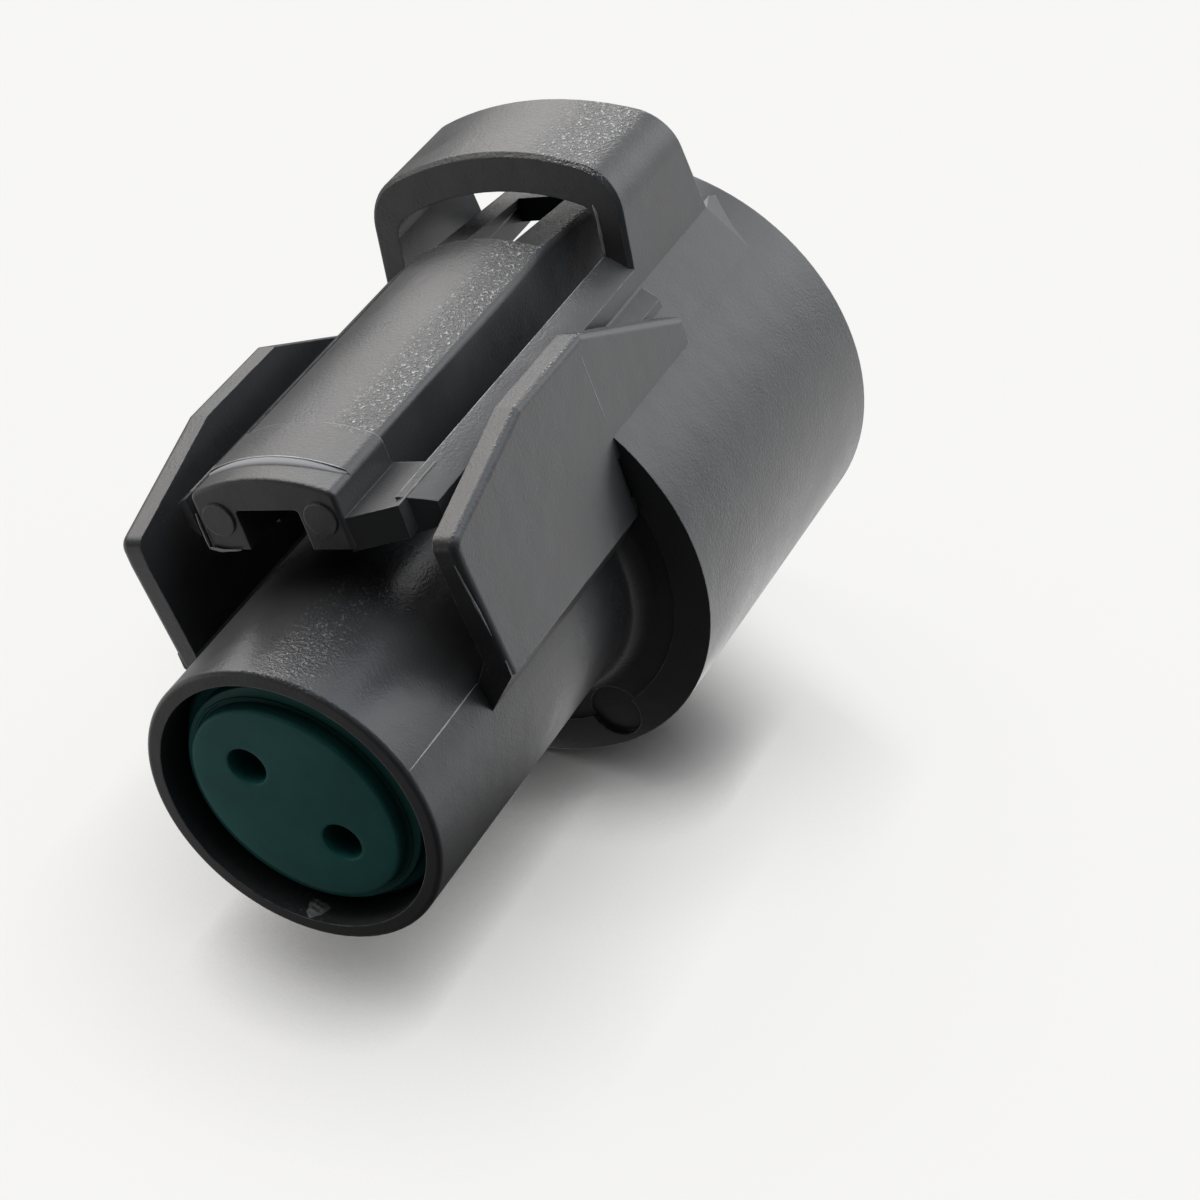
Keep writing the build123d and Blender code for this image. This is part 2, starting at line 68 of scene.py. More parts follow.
# The camera, fitted to the round edges of the photographed connector: its place in millimetres from the wire end,
# its own directions, its focal length in the photograph's pixels, and its near and far limits in metres
CAMERA_PLACE = (92.074, -90.563, 77.508)
CAMERA_RIGHT = (0.84541, 0.43972, -0.30320)
CAMERA_DOWN = (0.00922, -0.57960, -0.81485)
CAMERA_VIEW = (-0.53404, 0.68609, -0.49405)
FOCAL_PIXELS = 3181.35
PHOTO_PIXELS = 1200.0
SENSOR_WIDTH = 36.0
CAMERA_NEAR = 0.005
CAMERA_FAR = 50.0

# The studio's soft lights: the setting that holds the strength, the bearing and the height above the floor in
# degrees, the sharpness and the tint. Every bearing here runs from straight behind towards the right.
SOFT_LIGHTS = (
    ("back_left", -44.0, 45.0, 12.0, (1.03, 1.0, 0.97)),
    ("back_right", 60.0, 31.0, 12.0, (0.98, 1.0, 1.02)),
    ("back_low", -4.0, 12.0, 12.0, (1.02, 1.0, 0.98)),
    ("back_strip", 0.0, 39.0, 70.0, (1.0, 1.0, 1.0)),
    ("right_low", 49.0, 6.0, 12.0, (1.0, 1.0, 1.0)),
    ("top_right", 74.0, 67.0, 12.0, (0.88, 1.0, 1.13)),
)

# The floor's two bright sides of painted glow as the connector sees them: how sharp they are, and the bearings of
# their middles
BOUNCE_SHARPNESS = 4.0
BOUNCE_RIGHT_BEARING = 74.0
BOUNCE_LEFT_BEARING = -90.0

# The floor's painted shadow, which dims its glow: how steeply its near and its wide part darken, and the side on
# which it ends, by its bearing and the range of distances from under the connector, in millimetres, over which the
# light fills it
SHADOW_NEAR_POWER = 3.3
SHADOW_WIDE_POWER = 0.6
SHADOW_OPEN_BEARING = 50.0
SHADOW_END = (6.0, 19.0)

# The floor's paper: the share of its colour that the lights fall on, the dark side and the scale of its slow
# mottling, its roughness, and the tint of the light that it adds to itself
PAPER_SHARE = 0.09
PAPER_MOTTLE = 0.995
PAPER_SCALE = 0.02
PAPER_ROUGHNESS = 0.9
PAPER_TINT = (1.0, 0.995, 0.985)
BLACK = (0.0, 0.0, 0.0, 1.0)

# How many rays round an edge of plastic or rubber and of metal, and look for what closes in a surface and the floor,
# for the painted shade there
EDGE_RAYS = 5
METAL_EDGE_RAYS = 4
SHADE_RAYS = 2
FLOOR_RAYS = 3

# The moulded grain: the pits' scale and depth against the worm-like noise, the heights between which a grain's top
# glints, the scales of the rubbed patches and of the slow drift in parts a millimetre, the noise between which a
# patch sets in, and what it adds to the amount
PIT_SCALE = 2.1
PIT_DEPTH = 0.35
GLINT_RANGE = (0.79, 0.89)
PATCH_SCALE = 0.16
PATCH_RANGE = (0.46, 0.66)
PATCH_AMOUNT = 0.12
DRIFT_SCALE = 0.22

# The edge rubbing, which also paints edge highlights: how open an edge that stands free is, the scale in parts a
# millimetre and the range of the noise that breaks it up, the least that it leaves, and how open a crevice is, for
# its painted shade, from its start to its depth
FREE_RANGE = (0.7, 0.92)
BREAKUP_SCALE = 0.9
BREAKUP_RANGE = (0.36, 0.6)
BREAKUP_LEAST = 0.12
CREVICE_RANGE = (0.8, 0.35)

# Where the housing's grain is coarse and where it sparkles, with pale flecks there as painted glints. Heights and
# stations are in millimetres, and so is the low right place, which is x less the slant times z. The other ranges are
# of the parts of the surface's direction.
LATCH_HEIGHT = (11.6, 13.2)
TUBE_STATION = (WIRE_END + 9.0, WIRE_END + 7.0)
PAD_STATION = (WIRE_END + 10.4, WIRE_END + 11.6)
SLEEVE_STATION = (WIRE_END + 20.0, WIRE_END + 22.0)
LOW_RIGHT_PLACE = (6.0, 14.0)
LOW_RIGHT_SLANT = 0.7
FACES_UP = (0.35, 0.8)
FACES_RIGHT = (0.5, 0.8)
LEANS_RIGHT = (0.09, 0.24)
LEANS_TOO_FAR = (0.6, 0.36)

# The amounts of the housing's grain everywhere and in those places, and the flecks' share of the coarse grain
EVEN_GRAIN = 0.14
LATCH_GRAIN = 0.2
SLEEVE_GRAIN = 0.3
SPARKLE_GRAIN = 1.1
TUBE_SPARKLE = 0.4
FLECK_SHARE = 0.2

# How near surfaces have to be, in millimetres, for a crevice and for a deep hollow, which take painted shade
CREVICE_REACH = 0.5
HOLLOW_REACH = 5.0

# What every finish shares: the range of the slow drift between its two shades, and how far it shifts the roughness
DRIFT_RANGE = (0.3, 0.7)
ROUGHNESS_DROP = 0.05
ROUGHNESS_RISE = 0.06

# The plastics: their two mottled shades and the tone of the painted shade against their colour, how open a deep
# hollow is, how much painted shade darkens crevices and hollows, how much rougher hollows and glossier flecks are,
# and the range of the drift in roughness
MOTTLE_DARK = (0.9, 0.9, 0.92)
MOTTLE_LIGHT = (1.12, 1.11, 1.09)
PAINTED_SHADE_TONE = 0.3
CREVICE_PAINTED_SHADE = 0.35
HOLLOW_RANGE = (0.5, 0.12)
HOLLOW_PAINTED_SHADE = 0.85
HOLLOW_ROUGHNESS = 0.35
FLECK_GLOSS = 0.12
PLASTIC_DRIFT_RANGE = (0.25, 0.75)
PLASTIC_IOR = 1.52

# The rubber: its two shades, its bloom's shade and lift, the tone of the painted shade in its folds, and how much of
# the bloom and of that painted shade it takes
RUBBER_DARK = 0.86
RUBBER_LIGHT = 1.14
BLOOM_SHADE = 1.5
BLOOM_LIFT = 0.02
BLOOM_SHARE = 0.12
FOLD_PAINTED_SHADE = 0.25
FOLD_PAINTED_SHARE = 0.7
RUBBER_IOR = 1.42
RUBBER_SPECULAR = 0.3

# The contacts' tin: the stretch of its rolled grain along the strip and the grain's depth and edge radius in
# millimetres, the two noises' scales, the dark side of its smears and the range of its roughness
ROLLED_STRETCH = (6.0, 0.5, 6.0)
ROLLED_SCALE = 2.0
ROLLED_DEPTH = 0.0025
METAL_EDGE = 0.06
SMEAR_SCALE = 0.8
SMEAR_DARK = 0.82
METAL_ROUGHNESS = (0.2, 0.36)

# The seals' sizes that their boxes don't give, in millimetres and degrees
CAVITY_PITCH = 5.72
CAVITY_TURN = 49.0
WIRE_HOLE = 1.05
SEAL_RIB_HEIGHT = 0.8
SEAL_RIB_WIDTH = 1.5
SEAL_RIB_ROUND = 0.55
SEAL_RIBS = (2.25, 4.55, 6.85)
SEAL_LONG_INSET = 0.55
SEAL_SHORT_INSET = 1.27
RING_LIP_HEIGHT = 0.55
RING_BODY_HEIGHT = 1.45

# The wire seal's profile as pairs in millimetres. Front: out from the plateau's oval and down from its face, over
# the rounded edge, the side, and the ring with its bead. Shoulder: out from the round body and down from the face.
# Rear: out from the round body and up from the rear face. Hole lip: out from the hole's wall and down from a face.
SEAL_FRONT = ((-0.2, 0.0), (-0.1, 0.02), (-0.03, 0.09), (0.0, 0.2), (0.0, 0.62), (0.03, 0.72), (0.1, 0.76),
              (0.16, 0.7), (0.24, 0.7), (0.28, 0.8))
SEAL_SHOULDER = ((-0.12, 0.8), (-0.03, 0.83), (0.0, 0.92))
SEAL_REAR = ((0.0, 0.15), (-0.04, 0.04), (-0.15, 0.0))
HOLE_LIP = ((0.07, 0.0), (0.03, 0.01), (0.01, 0.03), (0.0, 0.07))

# The rings inside the wire seal's holes, in millimetres below the nearer face
HOLE_WALL_START = 0.5
HOLE_RINGS = (3.0, 4.1)
HOLE_RING_WIDTH = 0.8
HOLE_RING_HEIGHT = 0.2

# The interface seal's lips and rounded corners, as shares of its length, and the corners' fall in millimetres
RING_LIPS = (0.28, 0.72)
RING_LIP_SHARE = 0.34
RING_CORNER_SHARE = 0.06
RING_CORNER_FALL = 0.2

# The pad's lip on the latch arm, in millimetres: the arc of the crown that it follows, and its slope and its edge as
# ridges with a half width and a height
LIP_STATION = 8.1
LIP_RADIUS = 10.6
LIP_CENTRE = 3.9
LIP_HALF_WIDTH = 4.1
LIP_SLOPE_DROP = 0.15
LIP_SLOPE = (0.5, 0.145)
LIP_EDGE = (0.05, 0.03)

# Fine ridges where the mould's parts met: name, half width, height and points on the housing in millimetres, and the
# surface's direction there, or one for each point
MOULDING_LINES = (
    ("tube_parting_line", 0.045, 0.035,
     ((7.64, -40.6, 2.38), (7.64, -37.2, 2.38), (7.62, -33.85, 2.42)), (0.95, 0.0, 0.3)),
    ("tube_parting_line_left", 0.045, 0.035,
     ((-7.64, -40.6, 2.38), (-7.64, -37.2, 2.38), (-7.62, -33.85, 2.42)), (-0.95, 0.0, 0.3)),
    ("wing_front_flash", 0.06, 0.05,
     ((9.5, -34.46, 9.6), (9.56, -34.38, 8.5), (9.61, -34.29, 7.5), (9.67, -34.18, 6.4), (9.7, -34.08, 5.3)),
     ((0.3, -0.95, 0.0), (0.3, -0.95, 0.0), (0.4, -0.9, 0.0), (0.5, -0.85, 0.0), (0.5, -0.85, 0.0))),
    ("wing_split_line", 0.03, 0.012,
     ((9.9, -20.6, 12.4), (9.9, -20.5, 10.3), (9.9, -20.4, 7.9)), (1.0, 0.0, 0.0)),
    ("pad_leg_flash", 0.09, 0.07,
     ((-4.18, -34.48, 12.5), (-4.2, -34.5, 11.6), (-4.18, -34.5, 10.55), (-3.5, -34.5, 10.4), (-2.3, -34.5, 10.42)),
     ((-0.8, -0.6, 0.0), (-0.8, -0.6, 0.0), (-0.5, -0.6, -0.5), (0.0, -0.7, -0.7), (0.0, -0.7, -0.7))),
    ("latch_bridge_flash", 0.1, 0.1,
     ((6.1, -10.22, 14.75), (6.24, -10.33, 14.25), (6.25, -10.72, 12.66), (6.26, -10.86, 12.1)), (-0.6, -0.8, 0.0)),
)

# How the ridges taper at their ends, as a power, and the two slow waves of their swell, in radians a millimetre
RIDGE_TAPER = 0.4
RIDGE_WAVES = (4.3, 1.7)
RIDGE_SHIFT = 0.6

# The gate's broken stub inside the tube's rim: its middle, the direction that it stands up in, and its size, all in
# millimetres but the direction
GATE_PLACE = (-1.95, -40.0, -6.93)
GATE_NORMAL = (0.27, 0.0, 0.96)
GATE_RADIUS = 0.6
GATE_HEIGHT = 0.1

# The waves that make the stub's outline uneven, as a share of the radius, a count and a turn in radians, and the
# tears across it, as a share of its height and radians a millimetre along and across
GATE_WAVES = ((0.16, 3, 0.5), (0.08, 7, 0.0))
GATE_TEARS = ((0.35, 17.0, 6.0), (0.3, -5.0, 19.0))

# How finely meshes are joined, in digits of a millimetre, and the angle in degrees past which an edge stays sharp
WELD_DIGITS = 4
SMOOTH_ANGLE = 35.0

# Steps round one half of the wire seal, which its skin and its end faces share so that their edges meet
SEAL_HALF_STEPS = 64


# Node helpers

class NodeSheet:
    """Adds nodes to a tree, left to right, and links them."""

    SPACING = 190
    DROP = 130
    ROWS = 4

    def __init__(self, tree):
        self.tree = tree
        self.count = 0

    def add(self, kind, inputs=None, **settings):
        """Adds a node, sets its properties and fills its inputs."""
        node = self.tree.nodes.new(kind)
        node.location = (self.count * self.SPACING, -(self.count % self.ROWS) * self.DROP)
        self.count += 1
        for name, value in settings.items():
            setattr(node, name, value)
        self.feed(node, inputs or {})
        return node

    def feed(self, node, inputs):
        """Fills a node's inputs with values or with other nodes' sockets."""
        for key, value in inputs.items():
            if isinstance(value, bpy.types.NodeSocket):
                self.tree.links.new(value, node.inputs[key])
            else:
                node.inputs[key].default_value = value

    def maths(self, operation, first, second=0.0, third=0.0, clamp=False):
        """A Math node's value."""
        node = self.add("ShaderNodeMath", {0: first, 1: second, 2: third}, operation=operation, use_clamp=clamp)
        return node.outputs["Value"]

    def vector(self, operation, first, second=(0.0, 0.0, 0.0)):
        """A Vector Math node's vector."""
        return self.add("ShaderNodeVectorMath", {0: first, 1: second}, operation=operation).outputs["Vector"]

    def scaled(self, vector, factor):
        """A vector times a number."""
        return self.add("ShaderNodeVectorMath", {0: vector, "Scale": factor}, operation="SCALE").outputs["Vector"]

    def dot(self, first, second):
        """Two vectors' dot product."""
        return self.add("ShaderNodeVectorMath", {0: first, 1: second}, operation="DOT_PRODUCT").outputs["Value"]

    def ramp(self, value, low, high, start=0.0, end=1.0):
        """A smooth step of a value from one range to another, clamped."""
        node = self.add(
            "ShaderNodeMapRange",
            {"Value": value, "From Min": low, "From Max": high, "To Min": start, "To Max": end},
            interpolation_type="SMOOTHSTEP",
        )
        return node.outputs["Result"]

    def mix(self, factor, first, second):
        """A mix of two colours."""
        node = self.add("ShaderNodeMix", {0: factor, 6: first, 7: second}, data_type="RGBA", clamp_factor=True)
        return node.outputs[2]

    def noise(self, vector, scale, detail=2.0, roughness=0.5, distortion=0.0):
        """A noise texture's value."""
        node = self.add(
            "ShaderNodeTexNoise",
            {"Vector": vector, "Scale": scale, "Detail": detail, "Roughness": roughness, "Distortion": distortion},
        )
        return node.outputs["Fac"]

    def lobe(self, direction, middle, sharpness):
        """A soft bright spot: e to the power of sharpness times (cosine - 1), with the angle from its middle."""
        cosine = self.dot(direction, tuple(middle))
        return self.maths("EXPONENT", self.maths("MULTIPLY_ADD", cosine, sharpness, -sharpness))

    def openness(self, reach, rays):
        """How open the air over a surface is, within a reach in metres, from 0 to 1."""
        return self.add("ShaderNodeAmbientOcclusion", {"Distance": reach}, samples=rays).outputs["AO"]


def new_group(name, vectors, values, masks):
    """A shader node group with vector and value inputs and value outputs.

    Returns its sheet, the sockets that bring its inputs and the node that takes its outputs.
    """
    tree = bpy.data.node_groups.new(name, "ShaderNodeTree")
    for names, way, kind in (
        (vectors, "INPUT", "NodeSocketVector"),
        (values, "INPUT", "NodeSocketFloat"),
        (masks, "OUTPUT", "NodeSocketFloat"),
    ):
        for socket in names:
            tree.interface.new_socket(name=socket, in_out=way, socket_type=kind)
    sheet = NodeSheet(tree)
    entry = sheet.add("NodeGroupInput")
    leave = sheet.add("NodeGroupOutput")
    return sheet, entry.outputs, leave


def grain_group():
    """Moulded grain from coordinates in millimetres.

    Height is worm-like fine noise and finer pits times the fine depth, scaled by the amount, plus broad noise times
    its own depth. Drift is slow noise from 0 to 1. Glint marks the tops of the fine grains, and Patch the places
    where a surface was rubbed in the tool.
    """
    name = "moulded_grain"
    if name in bpy.data.node_groups:
        return bpy.data.node_groups[name]
    sheet, entry, leave = new_group(
        name, ["Place"], ["Amount", "Fine Scale", "Fine Depth", "Broad Scale", "Broad Depth"],
        ["Height", "Drift", "Glint", "Patch"])
    place = entry["Place"]
    worms = sheet.noise(place, entry["Fine Scale"], detail=1.0, distortion=0.45)
    pits = sheet.noise(place, sheet.maths("MULTIPLY", entry["Fine Scale"], PIT_SCALE), detail=0.0)
    fine = sheet.maths("MULTIPLY_ADD", pits, PIT_DEPTH, worms)
    patch = sheet.ramp(sheet.noise(place, PATCH_SCALE, roughness=0.6, distortion=0.5), *PATCH_RANGE)
    amount = sheet.maths("MULTIPLY_ADD", patch, PATCH_AMOUNT, entry["Amount"])
    depth = sheet.maths("MULTIPLY", entry["Fine Depth"], amount)
    broad = sheet.noise(place, entry["Broad Scale"], detail=1.0, roughness=0.4)
    sheet.feed(leave, {
        "Height": sheet.maths("MULTIPLY_ADD", broad, entry["Broad Depth"], sheet.maths("MULTIPLY", fine, depth)),
        "Drift": sheet.noise(place, DRIFT_SCALE, detail=3.0, roughness=0.55),
        "Glint": sheet.ramp(fine, *GLINT_RANGE),
        "Patch": patch,
    })
    return sheet.tree


def wear_and_highlight_group():
    """Rubbed edges with a painted edge highlight, and crevices for painted shade, as masks from 0 to 1.

    The first is how far the rounded normal turns from the true one, from its start to its full value, kept to edges
    that stand free and broken up by noise, and it marks both rubbed edges and their painted highlight. Crevice is how
    far near surfaces close a place in, where painted shade goes.
    """
    name = "edge_wear"
    if name in bpy.data.node_groups:
        return bpy.data.node_groups[name]
    sheet, entry, leave = new_group(
        name, ["Place", "Rounded", "True"], ["Openness", "Start", "Full"], ["Wear And Highlight", "Crevice"])
    turn = sheet.maths("SUBTRACT", 1.0, sheet.dot(entry["Rounded"], entry["True"]))
    edge = sheet.add("ShaderNodeMapRange", {"Value": turn, "From Min": entry["Start"], "From Max": entry["Full"]})
    free = sheet.ramp(entry["Openness"], *FREE_RANGE)
    patchy = sheet.noise(entry["Place"], BREAKUP_SCALE, detail=4.0, roughness=0.65)
    # Rubbed edges, which also carry a painted edge highlight
    worn_and_highlit = sheet.maths("MULTIPLY", edge.outputs["Result"], sheet.ramp(patchy, *BREAKUP_RANGE, BREAKUP_LEAST))
    sheet.feed(leave, {
        "Wear And Highlight": sheet.maths("MULTIPLY", worn_and_highlit, free, clamp=True),
        "Crevice": sheet.ramp(entry["Openness"], *CREVICE_RANGE),
    })
    return sheet.tree


# Materials

def rgba(colour, times=1.0, plus=0.0):
    """A colour property as four numbers, times one factor or three, plus a lift."""
    return (*(np.array(colour[:]) * times + plus).tolist(), 1.0)


def new_material(name):
    """A material, with its sheet, its Principled shader and the object's coordinates in millimetres."""
    material = bpy.data.materials.new(name)
    material.use_nodes = True
    material.node_tree.nodes.clear()
    sheet = NodeSheet(material.node_tree)
    place = sheet.scaled(sheet.add("ShaderNodeTexCoord").outputs["Object"], 1.0 / MM)
    return material, sheet, sheet.add("ShaderNodeBsdfPrincipled"), place


def moulded_grain(sheet, place, amount, fine_scale, fine_depth, broad_scale, broad_depth):
    """The shared grain in a material, with scales in parts a millimetre and depths in millimetres."""
    inputs = {"Place": place, "Amount": amount, "Fine Scale": fine_scale, "Fine Depth": fine_depth,
              "Broad Scale": broad_scale, "Broad Depth": broad_depth}
    return sheet.add("ShaderNodeGroup", inputs, node_tree=grain_group()).outputs


def edge_masks(sheet, place, radius, start, full):
    """The rounded normal of nearby edges, with the mask of their rubbing and painted highlight and the crevice mask
    for painted shade.
    """
    rounded = sheet.add("ShaderNodeBevel", {"Radius": radius * MM}, samples=EDGE_RAYS).outputs["Normal"]
    inputs = {"Place": place, "Rounded": rounded, "True": sheet.add("ShaderNodeNewGeometry").outputs["Normal"],
              "Openness": sheet.openness(CREVICE_REACH * MM, SHADE_RAYS), "Start": start, "Full": full}
    masks = sheet.add("ShaderNodeGroup", inputs, node_tree=wear_and_highlight_group()).outputs
    return rounded, masks["Wear And Highlight"], masks["Crevice"]


def bumped(sheet, height, normal):
    """A normal with a height in millimetres laid over it."""
    inputs = {"Strength": 1.0, "Distance": MM, "Height": height, "Normal": normal}
    return sheet.add("ShaderNodeBump", inputs).outputs["Normal"]


def finished(material, sheet, shader):
    """Ends a material with its shader as the surface."""
    sheet.add("ShaderNodeOutputMaterial", {"Surface": shader.outputs[0]})
    return material


def grain_amount(sheet, place):
    """How coarse the housing's grain is, and where it sparkles.

    The grain is coarse on the latch's upward faces and on the lower right of the sleeve, and nearly smooth
    elsewhere. It sparkles on the band of the latch and the tube that leans to the right, where the lights' reflection
    falls, and the pale flecks there are painted glints.
    """
    parts = sheet.add("ShaderNodeSeparateXYZ", {0: place}).outputs
    facing = sheet.add("ShaderNodeNewGeometry").outputs["Normal"]
    lean = sheet.add("ShaderNodeSeparateXYZ", {0: facing}).outputs
    upward = sheet.ramp(lean["Z"], *FACES_UP)
    latch = sheet.maths("MULTIPLY", sheet.ramp(parts["Z"], *LATCH_HEIGHT), upward)
    right = sheet.maths("MULTIPLY", sheet.ramp(parts["Y"], *SLEEVE_STATION), sheet.ramp(lean["X"], *FACES_RIGHT))
    slant = sheet.maths("MULTIPLY_ADD", parts["Z"], -LOW_RIGHT_SLANT, parts["X"])
    sleeve = sheet.maths("MULTIPLY", sheet.ramp(slant, *LOW_RIGHT_PLACE, 0.0, SLEEVE_GRAIN), right)
    coarse = sheet.maths("MAXIMUM", sheet.maths("MULTIPLY", latch, LATCH_GRAIN), sleeve)
    # The band that leans right, where the lights' reflection falls
    band = sheet.maths("MULTIPLY", sheet.ramp(lean["X"], *LEANS_RIGHT), sheet.ramp(lean["X"], *LEANS_TOO_FAR))
    behind_pad = sheet.maths("MULTIPLY", latch, sheet.ramp(parts["Y"], *PAD_STATION))
    tube = sheet.ramp(parts["Y"], *TUBE_STATION, 0.0, TUBE_SPARKLE)
    on_tube = sheet.maths("MULTIPLY", tube, sheet.maths("SUBTRACT", upward, latch, clamp=True))
    sparkle = sheet.maths("MULTIPLY", band, sheet.maths("MAXIMUM", behind_pad, on_tube))
    return coarse, sparkle


def moulded_plastic(name, colour, worn_and_highlit, roughness, fine_depth, edge_radius, even=None):
    """Glass-filled moulded plastic: mottled colour, pale fibres and painted glints, rubbed edges with a painted
    edge highlight, painted shade in crevices and hollows, grain and rounded edges.

    An even amount gives a small part the same grain all over.
    """
    material, sheet, shader, place = new_material(name)
    if even is None:
        coarse, sparkle = grain_amount(sheet, place)
        amount = sheet.maths("ADD", coarse, sheet.maths("MULTIPLY_ADD", sparkle, SPARKLE_GRAIN, EVEN_GRAIN))
        # Pale fibres on the coarse grain, and painted glints on the sparkling band
        pale = sheet.maths("MULTIPLY_ADD", coarse, FLECK_SHARE, sparkle)
    else:
        amount, pale = even, even * FLECK_SHARE
    grain = moulded_grain(
        sheet, place, amount, fine_scale=6.0, fine_depth=fine_depth, broad_scale=0.7, broad_depth=fine_depth / 2)
    rounded, wear_and_highlight, crevice = edge_masks(sheet, place, edge_radius, start=0.05, full=0.16)
    hollow = sheet.ramp(sheet.openness(HOLLOW_REACH * MM, SHADE_RAYS), *HOLLOW_RANGE)
    # Pale specks on the grains' tops: fibres, and painted glints where the band sparkles
    flecks = sheet.maths("MULTIPLY", grain["Glint"], pale, clamp=True)
    # Painted shade: crevices and deep hollows, found by how closed in they are, darken towards a dark tone of the
    # colour
    painted_shade = sheet.maths("MAXIMUM", sheet.maths("MULTIPLY", crevice, CREVICE_PAINTED_SHADE),
                       sheet.maths("MULTIPLY", hollow, HOLLOW_PAINTED_SHADE))
    mottled = sheet.mix(sheet.ramp(grain["Drift"], *DRIFT_RANGE),
                        rgba(colour, MOTTLE_DARK), rgba(colour, MOTTLE_LIGHT))
    shaded = sheet.mix(painted_shade, sheet.mix(flecks, mottled, rgba(worn_and_highlit)), rgba(colour, PAINTED_SHADE_TONE))
    rough = sheet.ramp(
        grain["Drift"], *PLASTIC_DRIFT_RANGE, roughness - ROUGHNESS_DROP, roughness + ROUGHNESS_RISE)
    rough = sheet.maths("MULTIPLY_ADD", hollow, HOLLOW_ROUGHNESS, rough)
    sheet.feed(shader, {
        # Edges lighten towards the pale colour, for rubbing and as a painted edge highlight
        "Base Color": sheet.mix(wear_and_highlight, shaded, rgba(worn_and_highlit)),
        "Roughness": sheet.maths("MULTIPLY_ADD", flecks, -FLECK_GLOSS, rough),
        "IOR": PLASTIC_IOR,
        "Normal": bumped(sheet, grain["Height"], rounded),
    })
    return finished(material, sheet, shader)


def moulded_rubber(name, colour, roughness):
    """Silicone rubber: even colour with a slow drift, a faint bloom on edges that also paints their highlight,
    painted shade in its folds and a fine bump.
    """
    material, sheet, shader, place = new_material(name)
    grain = moulded_grain(
        sheet, place, amount=1.0, fine_scale=6.5, fine_depth=0.006, broad_scale=0.8, broad_depth=0.01)
    rounded, wear_and_highlight, crevice = edge_masks(sheet, place, radius=0.07, start=0.03, full=0.3)
    bloom = rgba(colour, BLOOM_SHADE, BLOOM_LIFT)
    mottled = sheet.mix(sheet.ramp(grain["Drift"], *DRIFT_RANGE),
                        rgba(colour, RUBBER_DARK), rgba(colour, RUBBER_LIGHT))
    dusty = sheet.mix(sheet.maths("MULTIPLY", grain["Patch"], BLOOM_SHARE), mottled, bloom)
    # Painted shade in the folds, from the crevice mask
    painted_fold_shade = sheet.mix(sheet.maths("MULTIPLY", crevice, FOLD_PAINTED_SHARE), dusty, rgba(colour, FOLD_PAINTED_SHADE))
    sheet.feed(shader, {
        # Edges lighten towards the bloom, which also paints their highlight
        "Base Color": sheet.mix(wear_and_highlight, painted_fold_shade, bloom),
        "Roughness": sheet.ramp(
            grain["Drift"], *DRIFT_RANGE, roughness - ROUGHNESS_DROP, roughness + ROUGHNESS_RISE),
        "IOR": RUBBER_IOR,
        "Specular IOR Level": RUBBER_SPECULAR,
        "Normal": bumped(sheet, grain["Height"], rounded),
    })
    return finished(material, sheet, shader)


def plated_metal(name, colour):
    """Bright tin plating: metal with a faint rolled grain along the strip and soft smears in the gloss."""
    material, sheet, shader, place = new_material(name)
    strip = sheet.vector("MULTIPLY", place, ROLLED_STRETCH)
    rolled = sheet.noise(strip, ROLLED_SCALE, detail=3.0, roughness=0.6)
    smear = sheet.noise(place, SMEAR_SCALE, detail=3.0, roughness=0.6)
    rounded = sheet.add("ShaderNodeBevel", {"Radius": METAL_EDGE * MM}, samples=METAL_EDGE_RAYS).outputs["Normal"]
    sheet.feed(shader, {
        "Base Color": sheet.mix(sheet.ramp(smear, *DRIFT_RANGE), rgba(colour, SMEAR_DARK), rgba(colour)),
        "Metallic": 1.0,
        "Roughness": sheet.ramp(smear, *DRIFT_RANGE, *METAL_ROUGHNESS),
        "Normal": bumped(sheet, sheet.maths("MULTIPLY", rolled, ROLLED_DEPTH), rounded),
    })
    return finished(material, sheet, shader)


# Meshes

def dress(node, material):
    """Gives a carried-over CAD node its finished material."""
    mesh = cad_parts[node].data
    mesh.materials.clear()
    mesh.materials.append(material)


def strips(rows, columns, first=0, looped=False):
    """Quads of a grid of points, row after row, as one array. The columns join round, and looped joins the rows."""
    row = np.arange(rows if looped else rows - 1)[:, None]
    column = np.arange(columns)[None, :]
    here, above = row * columns, (row + 1) % rows * columns
    right = (column + 1) % columns
    quads = np.stack((here + column, here + right, above + right, above + column), axis=-1)
    return quads.reshape(-1, 4) + first


def full_turn(steps):
    """Evenly spaced angles round a full turn, in radians."""
    return np.arange(steps) / steps * 2 * math.pi


def welded(points, quads):
    """Joins points that fall together and halves the quads into triangles.

    A triangle with two corners at one point closes up and is dropped.
    """
    kept, index = np.unique(np.round(points, WELD_DIGITS), axis=0, return_inverse=True)
    quads = index.reshape(-1)[quads]
    triangles = np.concatenate((quads[:, (0, 1, 2)], quads[:, (0, 2, 3)]))
    whole = (triangles != np.roll(triangles, 1, axis=1)).all(axis=1)
    return kept, triangles[whole]


def closed(triangles):
    """Whether each edge is used once in each direction, so that the surface is closed and faces one way."""
    edges = np.concatenate((triangles[:, (0, 1)], triangles[:, (1, 2)], triangles[:, (2, 0)]))
    width = int(triangles.max()) + 1
    there, back = edges[:, 0] * width + edges[:, 1], edges[:, 1] * width + edges[:, 0]
    return len(np.unique(there)) == len(there) and np.array_equal(np.sort(there), np.sort(back))


def enclosed_volume(points, triangles):
    """Signed volume of a closed mesh: a sixth of the sum of each first corner dot the cross of the other two."""
    first, second, third = (points[triangles[:, corner]] for corner in range(3))
    return np.einsum("ij,ij->", first, np.cross(second, third)) / 6.0


